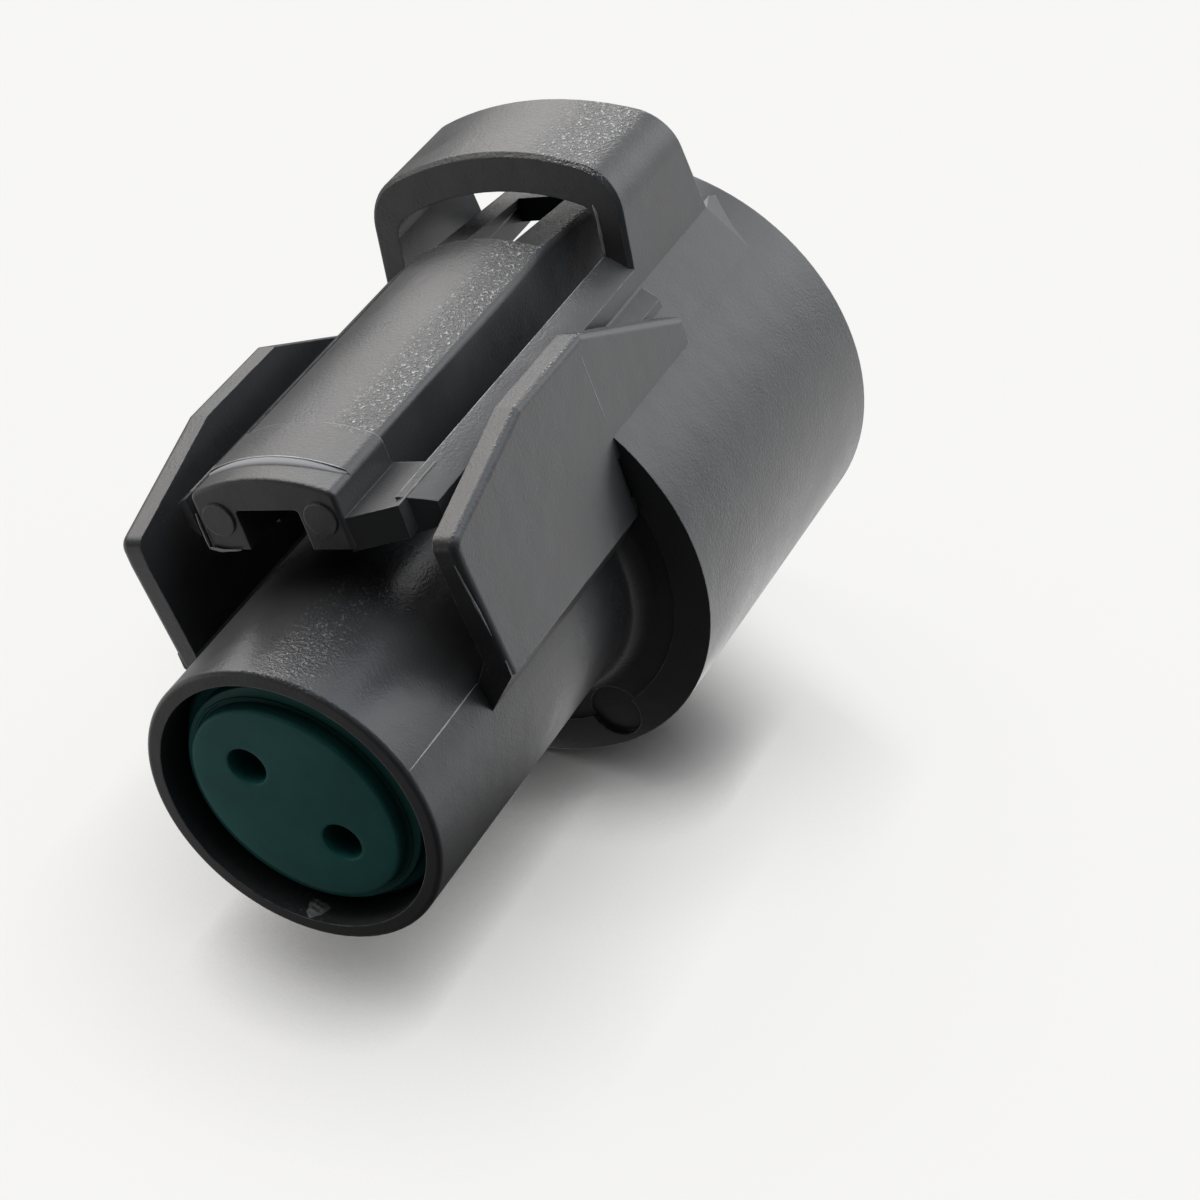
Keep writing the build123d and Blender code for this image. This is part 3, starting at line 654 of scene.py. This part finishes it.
def new_piece(name, points, quads, material, node=None):
    """Makes a closed surface of quads, in millimetres, into a finished piece that rides on the connector.

    A piece with a node stands in for that CAD node.
    """
    points, triangles = welded(np.asarray(points, float), quads)
    if not closed(triangles):
        raise ValueError(name + " is not a closed surface")
    if enclosed_volume(points, triangles) < 0.0:
        triangles = triangles[:, ::-1]
    mesh = bpy.data.meshes.new(name)
    mesh.from_pydata((points * MM).tolist(), [], triangles.tolist())
    mesh.validate()
    mesh.materials.append(material)
    piece = bpy.data.objects.new(name, mesh)
    bpy.context.scene.collection.objects.link(piece)
    mesh.polygons.foreach_set("use_smooth", np.ones(len(mesh.polygons), bool))
    mesh.set_sharp_from_angle(angle=math.radians(SMOOTH_ANGLE))
    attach(piece, "root")
    if node:
        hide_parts(node)
    return piece


def cavity_frame():
    """Unit vectors along the row of contacts and across it, in the plane of a section."""
    turn = math.radians(CAVITY_TURN)
    along = np.array((math.cos(turn), 0.0, -math.sin(turn)))
    across = np.array((math.sin(turn), 0.0, math.cos(turn)))
    return along, across


def half_loop(half_long, half_short, side, steps, chord):
    """Half an ellipse from its bottom to its top on one side, then back down the short axis, as a closed loop."""
    angle = np.linspace(-math.pi / 2, math.pi / 2, steps + 1)
    arc = np.stack((side * half_long * np.cos(angle), half_short * np.sin(angle)), axis=1)
    down = np.linspace(half_short, -half_short, chord + 1)[1:-1]
    return np.concatenate((arc, np.stack((np.zeros(chord - 1), down), axis=1)))


def holed_face(half_axes, rim_axes, rims, steps=SEAL_HALF_STEPS, chord=24, rows=8, crowding=0.7):
    """One end face with a hole each side of the middle, and the rows of the holes' walls.

    Each half is a grid. Along it runs the half's outline, and across it the straight way from the outline to the
    hole's rim, at a power of the row's share of the rows, so that they crowd towards the rim. A rim's points lie in
    the directions, from the hole's centre, of the outline with the rim axes, so that two faces with the same rim
    axes have rims that meet. The rims are pairs of a radius and a depth below the face. Returns points as distances
    along, across and down, and quads.
    """
    points, quads, start = [], [], 0
    for side in (-1.0, 1.0):
        outline = half_loop(*half_axes, side, steps, chord)
        centre = np.array((side * CAVITY_PITCH / 2, 0.0))
        ray = half_loop(*rim_axes, side, steps, chord) - centre
        unit = ray / np.linalg.norm(ray, axis=1, keepdims=True)
        first = centre + rims[0][0] * unit
        share = np.linspace(0.0, 1.0, rows)[:, None, None] ** crowding
        flat = outline[None] * (1.0 - share) + first[None] * share
        level = np.zeros((rows, len(outline), 1))
        walls = [np.concatenate((centre + radius * unit, np.full((len(unit), 1), depth)), axis=1)
                 for radius, depth in rims[1:]]
        grid = np.concatenate((np.concatenate((flat, level), axis=2), np.array(walls)))
        points.append(grid.reshape(-1, 3))
        half = strips(len(grid), len(outline), start)
        quads.append(half if side > 0.0 else half[:, ::-1])
        start += grid.shape[0] * grid.shape[1]
    return np.concatenate(points), np.concatenate(quads)


def wire_seal_rows(body, length, rib_rows=13):
    """The wire seal's profile from front to rear: the two half axes of each row's ellipse, and its depth.

    The ribs rise from the body as a root of half a cosine.
    """
    long, short = body - SEAL_LONG_INSET, body - SEAL_SHORT_INSET
    rows = [(long + out, short + out, down) for out, down in SEAL_FRONT]
    rows += [(body + out, body + out, down) for out, down in SEAL_SHOULDER]
    for middle in SEAL_RIBS:
        for place in np.linspace(-1.0, 1.0, rib_rows):
            out = body + SEAL_RIB_HEIGHT * math.cos(place * math.pi / 2) ** SEAL_RIB_ROUND
            rows.append((out, out, middle + place * SEAL_RIB_WIDTH / 2))
    rows += [(body + out, body + out, length - up) for out, up in SEAL_REAR]
    return np.array(rows)


def wire_hole_rims(length, wall_rows=41):
    """A wire hole's radius and depth from one face to the middle, with rings that rise as a cosine squared."""
    depth = np.linspace(HOLE_WALL_START, length / 2, wall_rows)
    near = np.clip((depth[:, None] - np.array(HOLE_RINGS)) / HOLE_RING_WIDTH, -0.5, 0.5)
    rise = HOLE_RING_HEIGHT * (np.cos(near * math.pi) ** 2).sum(axis=1)
    lip = [(WIRE_HOLE + out, down) for out, down in HOLE_LIP]
    return lip + np.stack((WIRE_HOLE - rise, depth), axis=1).tolist()


def wire_seal_surface(low, high):
    """The wire seal's skin in millimetres, between its two end faces.

    The skin is a profile carried round the axis: each row is an ellipse with its own two half axes and depth. The
    front and the rear are holed faces, and the holes' walls run from one to the other.
    """
    length = high[1] - low[1]
    rows = wire_seal_rows((high[0] - low[0]) / 2 - SEAL_RIB_HEIGHT, length)
    steps = 2 * SEAL_HALF_STEPS
    angle = full_turn(steps) - math.pi / 2
    skin = np.stack((rows[:, :1] * np.cos(angle), rows[:, 1:2] * np.sin(angle),
                     np.repeat(rows[:, 2:], steps, axis=1)), axis=2).reshape(-1, 3)
    rims = wire_hole_rims(length)
    front_points, front_quads = holed_face(rows[0, :2], rows[0, :2], rims)
    rear_points, rear_quads = holed_face(rows[-1, :2], rows[0, :2], rims)
    rear_points[:, 2] = length - rear_points[:, 2]
    points = np.concatenate((skin, front_points, rear_points))
    quads = np.concatenate((
        strips(len(rows), steps),
        front_quads[:, ::-1] + len(skin),
        rear_quads + len(skin) + len(front_points),
    ))
    along, across = cavity_frame()
    place = points[:, :1] * along + points[:, 1:2] * across
    place[:, 1] = low[1] + points[:, 2]
    return place, quads


def interface_seal_surface(low, high, rows=61, steps=144):
    """The ring seal's skin in millimetres: a closed section carried round the axis.

    The section's outer side is the body plus two lips that rise as the sine squared of the way along each lip,
    and its inner side is straight. The outer corners fall away as a quarter circle does.
    """
    outer = (high[0] - low[0]) / 2
    way = np.linspace(0.0, 1.0, rows)
    near = np.clip((way - np.array(RING_LIPS)[:, None]) / RING_LIP_SHARE + 0.5, 0.0, 1.0)
    lips = (np.sin(near * math.pi) ** 2).max(axis=0)
    corner = np.clip(np.minimum(way, 1.0 - way) / RING_CORNER_SHARE, 0.0, 1.0)
    fall = RING_CORNER_FALL * (1.0 - np.sqrt(1.0 - (1.0 - corner) ** 2))
    top = outer - RING_LIP_HEIGHT + RING_LIP_HEIGHT * lips - fall
    bottom = np.full_like(way, outer - RING_LIP_HEIGHT - RING_BODY_HEIGHT)
    radius = np.concatenate((top, bottom))
    station = np.concatenate((way, way[::-1])) * (high[1] - low[1]) + low[1]
    angle = full_turn(steps)
    points = np.stack((radius[:, None] * np.cos(angle), np.repeat(station[:, None], steps, axis=1),
                       radius[:, None] * np.sin(angle)), axis=2)
    return points.reshape(-1, 3), strips(len(radius), steps, looped=True)


def ridge_surface(path, normals, half_width, height, uneven=0.25, steps=60, around=16):
    """A fine ridge of flash in millimetres: a flat ellipse carried along a path on a surface.

    At each step the ellipse's half axes are the half width across the path and the height along the normal, both
    times a taper that rises from nothing at the two ends, as a power of the sine, and a slow swell of one plus the
    uneven share of two sine waves' product.
    """
    path = np.asarray(path, float)
    normals = np.broadcast_to(normals, path.shape)
    run = np.concatenate(([0.0], np.cumsum(np.linalg.norm(np.diff(path, axis=0), axis=1))))
    way = np.linspace(0.0, run[-1], steps)
    centre = np.stack([np.interp(way, run, path[:, axis]) for axis in range(3)], axis=1)
    rise = np.stack([np.interp(way, run, normals[:, axis]) for axis in range(3)], axis=1)
    rise /= np.linalg.norm(rise, axis=1, keepdims=True)
    across = np.cross(np.gradient(centre, axis=0), rise)
    across /= np.linalg.norm(across, axis=1, keepdims=True)
    taper = np.sin(np.linspace(0.0, math.pi, steps)) ** RIDGE_TAPER
    fast, slow = RIDGE_WAVES
    swell = taper * (1.0 + uneven * np.sin(way * fast) * np.sin(way * slow + RIDGE_SHIFT))
    angle = full_turn(around)
    points = (centre[:, None]
              + across[:, None] * (half_width * swell[:, None] * np.cos(angle))[..., None]
              + rise[:, None] * (height * swell[:, None] * np.sin(angle))[..., None])
    return points.reshape(-1, 3), strips(steps, around)


def pad_lip_path(radius, steps=25):
    """The pad's lip: points on the crown's arc from left to right, and the arc's directions there."""
    x = np.linspace(-LIP_HALF_WIDTH, LIP_HALF_WIDTH, steps)
    rise = np.sqrt(radius ** 2 - x ** 2)
    path = np.stack((x, np.full_like(x, WIRE_END + LIP_STATION), LIP_CENTRE + rise), axis=1)
    return path, np.stack((x, np.zeros_like(x), rise), axis=1)


def gate_stub_surface(centre, normal, radius, height, rings=14, around=48, slope=0.7):
    """The rough stub where the mould's gate broke off, in millimetres.

    A low dome whose height falls as a power of the cosine of the way out, crossed by sine waves as tear marks, and
    closed by the same shape at half the height, turned down into the wall. Sine waves round it make its outline
    uneven.
    """
    centre, normal = np.asarray(centre, float), np.asarray(normal, float)
    normal /= np.linalg.norm(normal)
    along = np.array((0.0, 1.0, 0.0))
    across = np.cross(along, normal)
    way = np.linspace(0.0, 1.0, rings)[:, None]
    angle = full_turn(around)[None, :]
    out = radius * way * (1.0 + sum(share * np.sin(count * angle + turn) for share, count, turn in GATE_WAVES))
    x, y = out * np.sin(angle), out * np.cos(angle)
    tears = sum(share * np.sin(x * lengthways + y * sideways) for share, lengthways, sideways in GATE_TEARS)
    dome = height * np.cos(way * math.pi / 2) ** slope * (1.0 + tears)
    flat = centre + x[..., None] * along + y[..., None] * across
    points = np.concatenate((flat + dome[..., None] * normal, (flat - 0.5 * dome[..., None] * normal)[::-1]))
    return points.reshape(-1, 3), strips(2 * rings, around)


# Stage

def lowest_along(up):
    """How far down the shown object reaches against a direction, in metres."""
    def points(piece):
        place = np.empty(len(piece.data.vertices) * 3, np.float32)
        piece.data.vertices.foreach_get("co", place)
        return place.reshape(-1, 3)

    return min(float((points(piece) @ np.array(up)).min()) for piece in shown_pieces())


def towards(bearing, side, ahead):
    """The direction along the floor at a bearing in degrees."""
    turn = math.radians(bearing)
    return math.sin(turn) * side + math.cos(turn) * ahead


def studio_world(settings, side, ahead, up):
    """Soft lights round the studio, each a smooth lobe on the sky. The camera sees a plain pale backdrop instead."""
    world = bpy.data.worlds.new("studio")
    world.use_nodes = True
    world.node_tree.nodes.clear()
    sheet = NodeSheet(world.node_tree)
    direction = sheet.add("ShaderNodeTexCoord").outputs["Generated"]
    total = (0.0, 0.0, 0.0)
    for name, bearing, height, sharpness, tint in SOFT_LIGHTS:
        raised = math.radians(height)
        middle = math.cos(raised) * towards(bearing, side, ahead) + math.sin(raised) * up
        strength = sheet.maths("MULTIPLY", sheet.lobe(direction, middle, sharpness), getattr(settings, name))
        total = sheet.vector("ADD", sheet.scaled(tint, strength), total)
    lights = sheet.add("ShaderNodeBackground", {"Color": total, "Strength": 1.0})
    backdrop = sheet.add("ShaderNodeBackground", {"Color": rgba(settings.backdrop_colour), "Strength": 1.0})
    seen = sheet.add("ShaderNodeLightPath").outputs["Is Camera Ray"]
    shown = sheet.add("ShaderNodeMixShader", {0: seen, 1: lights.outputs[0], 2: backdrop.outputs[0]})
    sheet.add("ShaderNodeOutputWorld", {"Surface": shown.outputs[0]})
    return world


def floor_paper(settings, foot, side, ahead):
    """Pale matt paper, seen only from its upper side so that it hides nothing in a view from below.

    The camera sees it lit by the studio and by its own glow, with a painted shadow in that glow where the connector
    closes it in. The connector sees only a painted glow, a plain floor that is brighter on its two sides.
    """
    material, sheet, shader, place = new_material("floor_paper")
    colour = settings.floor_colour
    mottle = sheet.ramp(sheet.noise(place, PAPER_SCALE), *DRIFT_RANGE)
    # The painted shadow: the glow dims where the connector closes the floor in, and fills again on its open side
    near = sheet.maths("POWER", sheet.openness(settings.shadow_near, FLOOR_RAYS), SHADOW_NEAR_POWER)
    wide = sheet.maths("POWER", sheet.openness(settings.shadow_wide, FLOOR_RAYS), SHADOW_WIDE_POWER)
    open_side = towards(SHADOW_OPEN_BEARING, side, ahead)
    under = foot.dot(open_side) / MM
    filled = sheet.ramp(sheet.dot(place, tuple(open_side)), *(under + end for end in SHADOW_END))
    light = sheet.maths("MAXIMUM", sheet.maths("MULTIPLY", near, wide), filled)
    sheet.feed(shader, {
        "Base Color": sheet.mix(mottle, rgba(colour, PAPER_SHARE * PAPER_MOTTLE), rgba(colour, PAPER_SHARE)),
        "Roughness": PAPER_ROUGHNESS,
        "Specular IOR Level": 0.0,
        "Emission Color": sheet.mix(light, BLACK, rgba(PAPER_TINT, settings.floor_lift)),
        "Emission Strength": 1.0,
    })

    geometry = sheet.add("ShaderNodeNewGeometry").outputs
    away = sheet.vector("NORMALIZE", sheet.vector("SUBTRACT", geometry["Position"], tuple(foot)))
    bounce = settings.bounce_rest
    for bearing, strength in ((BOUNCE_RIGHT_BEARING, settings.bounce_right),
                              (BOUNCE_LEFT_BEARING, settings.bounce_left)):
        lobe = sheet.lobe(away, towards(bearing, side, ahead), BOUNCE_SHARPNESS)
        bounce = sheet.maths("MULTIPLY_ADD", lobe, strength, bounce)
    glow = sheet.add("ShaderNodeEmission", {"Color": bounce, "Strength": 1.0})
    clear = sheet.add("ShaderNodeBsdfTransparent")
    seen = sheet.add("ShaderNodeLightPath").outputs["Is Camera Ray"]
    lit = sheet.add("ShaderNodeMixShader", {0: seen, 1: glow.outputs[0], 2: shader.outputs[0]})
    upper = sheet.add("ShaderNodeMixShader", {0: geometry["Backfacing"], 1: lit.outputs[0], 2: clear.outputs[0]})
    return finished(material, sheet, upper)


def studio_floor(settings, side, ahead, up):
    """A square of paper that the connector stands on, in a plane that the floor's direction gives."""
    lowest = lowest_along(up)
    half = settings.floor_size / 2
    square = [lowest * up + right * half * side + back * half * ahead
              for right, back in ((-1, -1), (1, -1), (1, 1), (-1, 1))]
    mesh = bpy.data.meshes.new("floor")
    mesh.from_pydata([tuple(corner) for corner in square], [], [(0, 1, 2, 3)])
    middle = Vector((0.0, WIRE_END * MM / 2, 0.0))
    foot = middle - (middle.dot(up) - lowest) * up
    mesh.materials.append(floor_paper(settings, foot, side, ahead))
    return bpy.data.objects.new("floor", mesh)


def photo_camera():
    """The camera that sees the connector as the photograph does."""
    camera = bpy.data.cameras.new("camera")
    camera.sensor_width = SENSOR_WIDTH
    camera.lens = FOCAL_PIXELS / PHOTO_PIXELS * SENSOR_WIDTH
    camera.clip_start = CAMERA_NEAR
    camera.clip_end = CAMERA_FAR
    holder = bpy.data.objects.new("camera", camera)
    turn = Matrix((CAMERA_RIGHT, [-c for c in CAMERA_DOWN], [-c for c in CAMERA_VIEW])).transposed()
    place = Vector(CAMERA_PLACE) * MM + Vector((0.0, WIRE_END * MM, 0.0))
    holder.matrix_world = Matrix.Translation(place) @ turn.to_4x4()
    return holder


# Settings that a user would change

class FinishSettings(bpy.types.PropertyGroup):
    housing_colour: bpy.props.FloatVectorProperty(
        name="Housing colour", description="Colour of the moulded housing", subtype="COLOR",
        size=3, min=0.0, max=1.0, default=(0.06, 0.06, 0.0615))
    # The pale colour of rubbed edges and fibres, which also paints edge highlights and the sparkling band's glints
    worn_and_highlight_colour: bpy.props.FloatVectorProperty(
        name="Worn edge colour", description="Colour of the housing's rubbed edges and pale fibres",
        subtype="COLOR", size=3, min=0.0, max=1.0, default=(0.42, 0.418, 0.41))
    # Ridges' pale colour: a painted highlight along their tops, and the gate stub's pale scuff
    highlight_and_scuff_colour: bpy.props.FloatVectorProperty(
        name="Flash colour", description="Colour of the fine ridges along the mould's joints", subtype="COLOR",
        size=3, min=0.0, max=1.0, default=(0.36, 0.36, 0.36))
    housing_roughness: bpy.props.FloatProperty(
        name="Housing roughness", description="Roughness of the moulded housing", subtype="FACTOR",
        min=0.0, max=1.0, default=0.31)
    retainer_roughness: bpy.props.FloatProperty(
        name="Retainer roughness", description="Roughness of the front retainer", subtype="FACTOR",
        min=0.0, max=1.0, default=0.42)
    seal_roughness: bpy.props.FloatProperty(
        name="Seal roughness", description="Roughness of the silicone seals", subtype="FACTOR",
        min=0.0, max=1.0, default=0.5)
    grain_depth: bpy.props.FloatProperty(
        name="Grain depth", description="Depth of the housing's fine grain, in millimetres",
        min=0.0, max=0.2, default=0.06)
    edge_radius: bpy.props.FloatProperty(
        name="Edge radius", description="Radius that sharp moulded edges are rounded to, in millimetres",
        min=0.0, max=1.0, default=0.09)
    seal_colour: bpy.props.FloatVectorProperty(
        name="Seal colour", description="Colour of the silicone seals", subtype="COLOR",
        size=3, min=0.0, max=1.0, default=(0.03, 0.185, 0.168))
    retainer_colour: bpy.props.FloatVectorProperty(
        name="Retainer colour", description="Colour of the front retainer", subtype="COLOR",
        size=3, min=0.0, max=1.0, default=(0.04, 0.04, 0.043))
    metal_colour: bpy.props.FloatVectorProperty(
        name="Contact colour", description="Colour of the contacts' plating", subtype="COLOR",
        size=3, min=0.0, max=1.0, default=(0.8, 0.78, 0.74))


class StageSettings(bpy.types.PropertyGroup):
    floor_colour: bpy.props.FloatVectorProperty(
        name="Floor colour", description="Colour of the studio floor", subtype="COLOR",
        size=3, min=0.0, max=1.0, default=(0.9, 0.88, 0.85))
    backdrop_colour: bpy.props.FloatVectorProperty(
        name="Backdrop colour", description="Colour of the plain backdrop beyond the floor", subtype="COLOR",
        size=3, min=0.0, max=1.0, default=(0.905, 0.9, 0.89))
    floor_normal: bpy.props.FloatVectorProperty(
        name="Floor direction", description="Upward direction of the floor in the connector's frame",
        subtype="DIRECTION", size=3, default=(0.338, 0.0, 0.941))
    floor_size: bpy.props.FloatProperty(
        name="Floor size", description="Length of the floor's side", subtype="DISTANCE", unit="LENGTH",
        min=0.1, default=3.0)
    floor_lift: bpy.props.FloatProperty(
        name="Floor lift", description="Light that the floor adds to itself, which softens its shadows",
        min=0.0, default=0.84)
    # Reaches of the floor's painted shadow in its glow
    shadow_near: bpy.props.FloatProperty(
        name="Near shadow", description="Reach of the dark shadow where the connector nears the floor",
        subtype="DISTANCE", unit="LENGTH", min=0.0, default=0.006)
    shadow_wide: bpy.props.FloatProperty(
        name="Wide shadow", description="Reach of the faint shadow round the connector",
        subtype="DISTANCE", unit="LENGTH", min=0.0, default=0.013)
    # The floor's painted glow as the connector sees it
    bounce_right: bpy.props.FloatProperty(
        name="Right bounce", description="Brightness of the floor's right side as the connector sees it",
        min=0.0, default=1.35)
    bounce_left: bpy.props.FloatProperty(
        name="Left bounce", description="Brightness of the floor's left side as the connector sees it",
        min=0.0, default=0.85)
    bounce_rest: bpy.props.FloatProperty(
        name="Even bounce", description="Brightness of the whole floor as the connector sees it",
        min=0.0, default=0.02)
    back_left: bpy.props.FloatProperty(
        name="Back left light", description="Strength of the large light high behind on the left",
        min=0.0, default=4.9)
    back_right: bpy.props.FloatProperty(
        name="Back right light", description="Strength of the light behind on the right", min=0.0, default=1.9)
    back_low: bpy.props.FloatProperty(
        name="Low back light", description="Strength of the low light straight behind", min=0.0, default=2.5)
    back_strip: bpy.props.FloatProperty(
        name="Small back light", description="Strength of the small sharp light straight behind", min=0.0,
        default=3.2)
    right_low: bpy.props.FloatProperty(
        name="Low right light", description="Strength of the low light on the right", min=0.0, default=1.6)
    top_right: bpy.props.FloatProperty(
        name="Top right light", description="Strength of the light overhead on the right", min=0.0, default=2.0)


# Operators

class CONNECTOR_OT_housing(bpy.types.Operator):
    """Gives the moulded housing and the front retainer their plastics"""
    bl_idname = "connector.housing"
    bl_label = "Dress housing and retainer"

    def execute(self, context):
        finish = context.scene.connector_finish
        dress("housing", moulded_plastic(
            "housing_plastic", finish.housing_colour, finish.worn_and_highlight_colour, finish.housing_roughness,
            finish.grain_depth, finish.edge_radius))
        dress("front_retainer", moulded_plastic(
            "retainer_plastic", finish.retainer_colour, rgba(finish.retainer_colour, 2.0)[:3],
            finish.retainer_roughness, finish.grain_depth / 2, finish.edge_radius, even=0.3))
        return {"FINISHED"}


class CONNECTOR_OT_moulding_lines(bpy.types.Operator):
    """Builds the fine ridges of flash along the mould's joints, the pad's lip and the gate's broken stub"""
    bl_idname = "connector.moulding_lines"
    bl_label = "Build moulding lines"

    def execute(self, context):
        finish = context.scene.connector_finish
        plastic = bpy.data.materials["housing_plastic"]
        # The ridges are pale as a painted highlight along their tops, and the gate's stub is pale as a scuff
        flash = moulded_plastic(
            "highlight_and_scuff_plastic", finish.highlight_and_scuff_colour, rgba(finish.highlight_and_scuff_colour, 1.3)[:3], finish.housing_roughness,
            finish.grain_depth / 2, edge_radius=0.02, even=0.4)
        pieces = [(name, ridge_surface(path, normals, half_width, height), flash)
                  for name, half_width, height, path, normals in MOULDING_LINES]
        slope = ridge_surface(*pad_lip_path(LIP_RADIUS - LIP_SLOPE_DROP), *LIP_SLOPE, uneven=0.0)
        edge = ridge_surface(*pad_lip_path(LIP_RADIUS), *LIP_EDGE)
        stub = gate_stub_surface(GATE_PLACE, GATE_NORMAL, GATE_RADIUS, GATE_HEIGHT)
        pieces += [("pad_lip_slope", slope, plastic), ("pad_lip_edge", edge, flash), ("gate_stub", stub, flash)]
        for name, (points, quads), material in pieces:
            new_piece(name, points, quads, material)
        return {"FINISHED"}


class CONNECTOR_OT_seals(bpy.types.Operator):
    """Builds the wire seal and the interface seal in rubber"""
    bl_idname = "connector.seals"
    bl_label = "Build seals"

    def execute(self, context):
        finish = context.scene.connector_finish
        rubber = moulded_rubber("seal_rubber", finish.seal_colour, finish.seal_roughness)
        for node, surface, slot in (
            ("wire_seal", wire_seal_surface, "wire_seal_rubber"),
            ("interface_seal", interface_seal_surface, "interface_seal_rubber"),
        ):
            low, high = (np.array(corner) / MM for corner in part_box(node))
            points, quads = surface(low, high)
            new_piece(node + "_moulding", points, quads, rubber, node)
        return {"FINISHED"}


class CONNECTOR_OT_contacts(bpy.types.Operator):
    """Gives the two contacts their plating"""
    bl_idname = "connector.contacts"
    bl_label = "Dress contacts"

    def execute(self, context):
        metal = plated_metal("contact_metal", context.scene.connector_finish.metal_colour)
        dress("contact_upper", metal)
        dress("contact_lower", metal)
        return {"FINISHED"}


class CONNECTOR_OT_stage(bpy.types.Operator):
    """Sets up the floor, the soft lights and the camera"""
    bl_idname = "connector.stage"
    bl_label = "Set up stage"

    def execute(self, context):
        scene = context.scene
        settings = scene.connector_stage
        up = Vector(settings.floor_normal).normalized()
        view = Vector(CAMERA_VIEW)
        ahead = (view - view.dot(up) * up).normalized()
        side = ahead.cross(up)
        floor = studio_floor(settings, side, ahead, up)
        scene.collection.objects.link(floor)
        floor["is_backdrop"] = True
        scene.world = studio_world(settings, side, ahead, up)
        scene.camera = photo_camera()
        scene.collection.objects.link(scene.camera)
        scene.view_settings.view_transform = "Standard"
        scene.view_settings.look = "None"
        return {"FINISHED"}


class CONNECTOR_PT_sidebar(bpy.types.Panel):
    """Lists the connector's settings and steps"""
    bl_idname = "CONNECTOR_PT_sidebar"
    bl_label = "Sealed sensor connector"
    bl_space_type = "VIEW_3D"
    bl_region_type = "UI"
    bl_category = "Connector"

    def draw(self, context):
        for settings in (context.scene.connector_finish, context.scene.connector_stage):
            box = self.layout.box()
            for name in settings.bl_rna.properties.keys():
                if name not in ("rna_type", "name"):
                    box.prop(settings, name)
        for operator in STEPS:
            self.layout.operator(operator.bl_idname)


STEPS = (
    CONNECTOR_OT_housing,
    CONNECTOR_OT_moulding_lines,
    CONNECTOR_OT_seals,
    CONNECTOR_OT_contacts,
    CONNECTOR_OT_stage,
)
CLASSES = (FinishSettings, StageSettings, *STEPS, CONNECTOR_PT_sidebar)


def register():
    for item in CLASSES:
        bpy.utils.register_class(item)
    bpy.types.Scene.connector_finish = bpy.props.PointerProperty(type=FinishSettings)
    bpy.types.Scene.connector_stage = bpy.props.PointerProperty(type=StageSettings)


def unregister():
    del bpy.types.Scene.connector_stage
    del bpy.types.Scene.connector_finish
    for item in reversed(CLASSES):
        bpy.utils.unregister_class(item)


def main():
    """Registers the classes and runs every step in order."""
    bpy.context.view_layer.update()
    register()
    for operator in STEPS:
        group, step = operator.bl_idname.split(".")
        getattr(getattr(bpy.ops, group), step)()


if __name__ == "__main__":
    main()
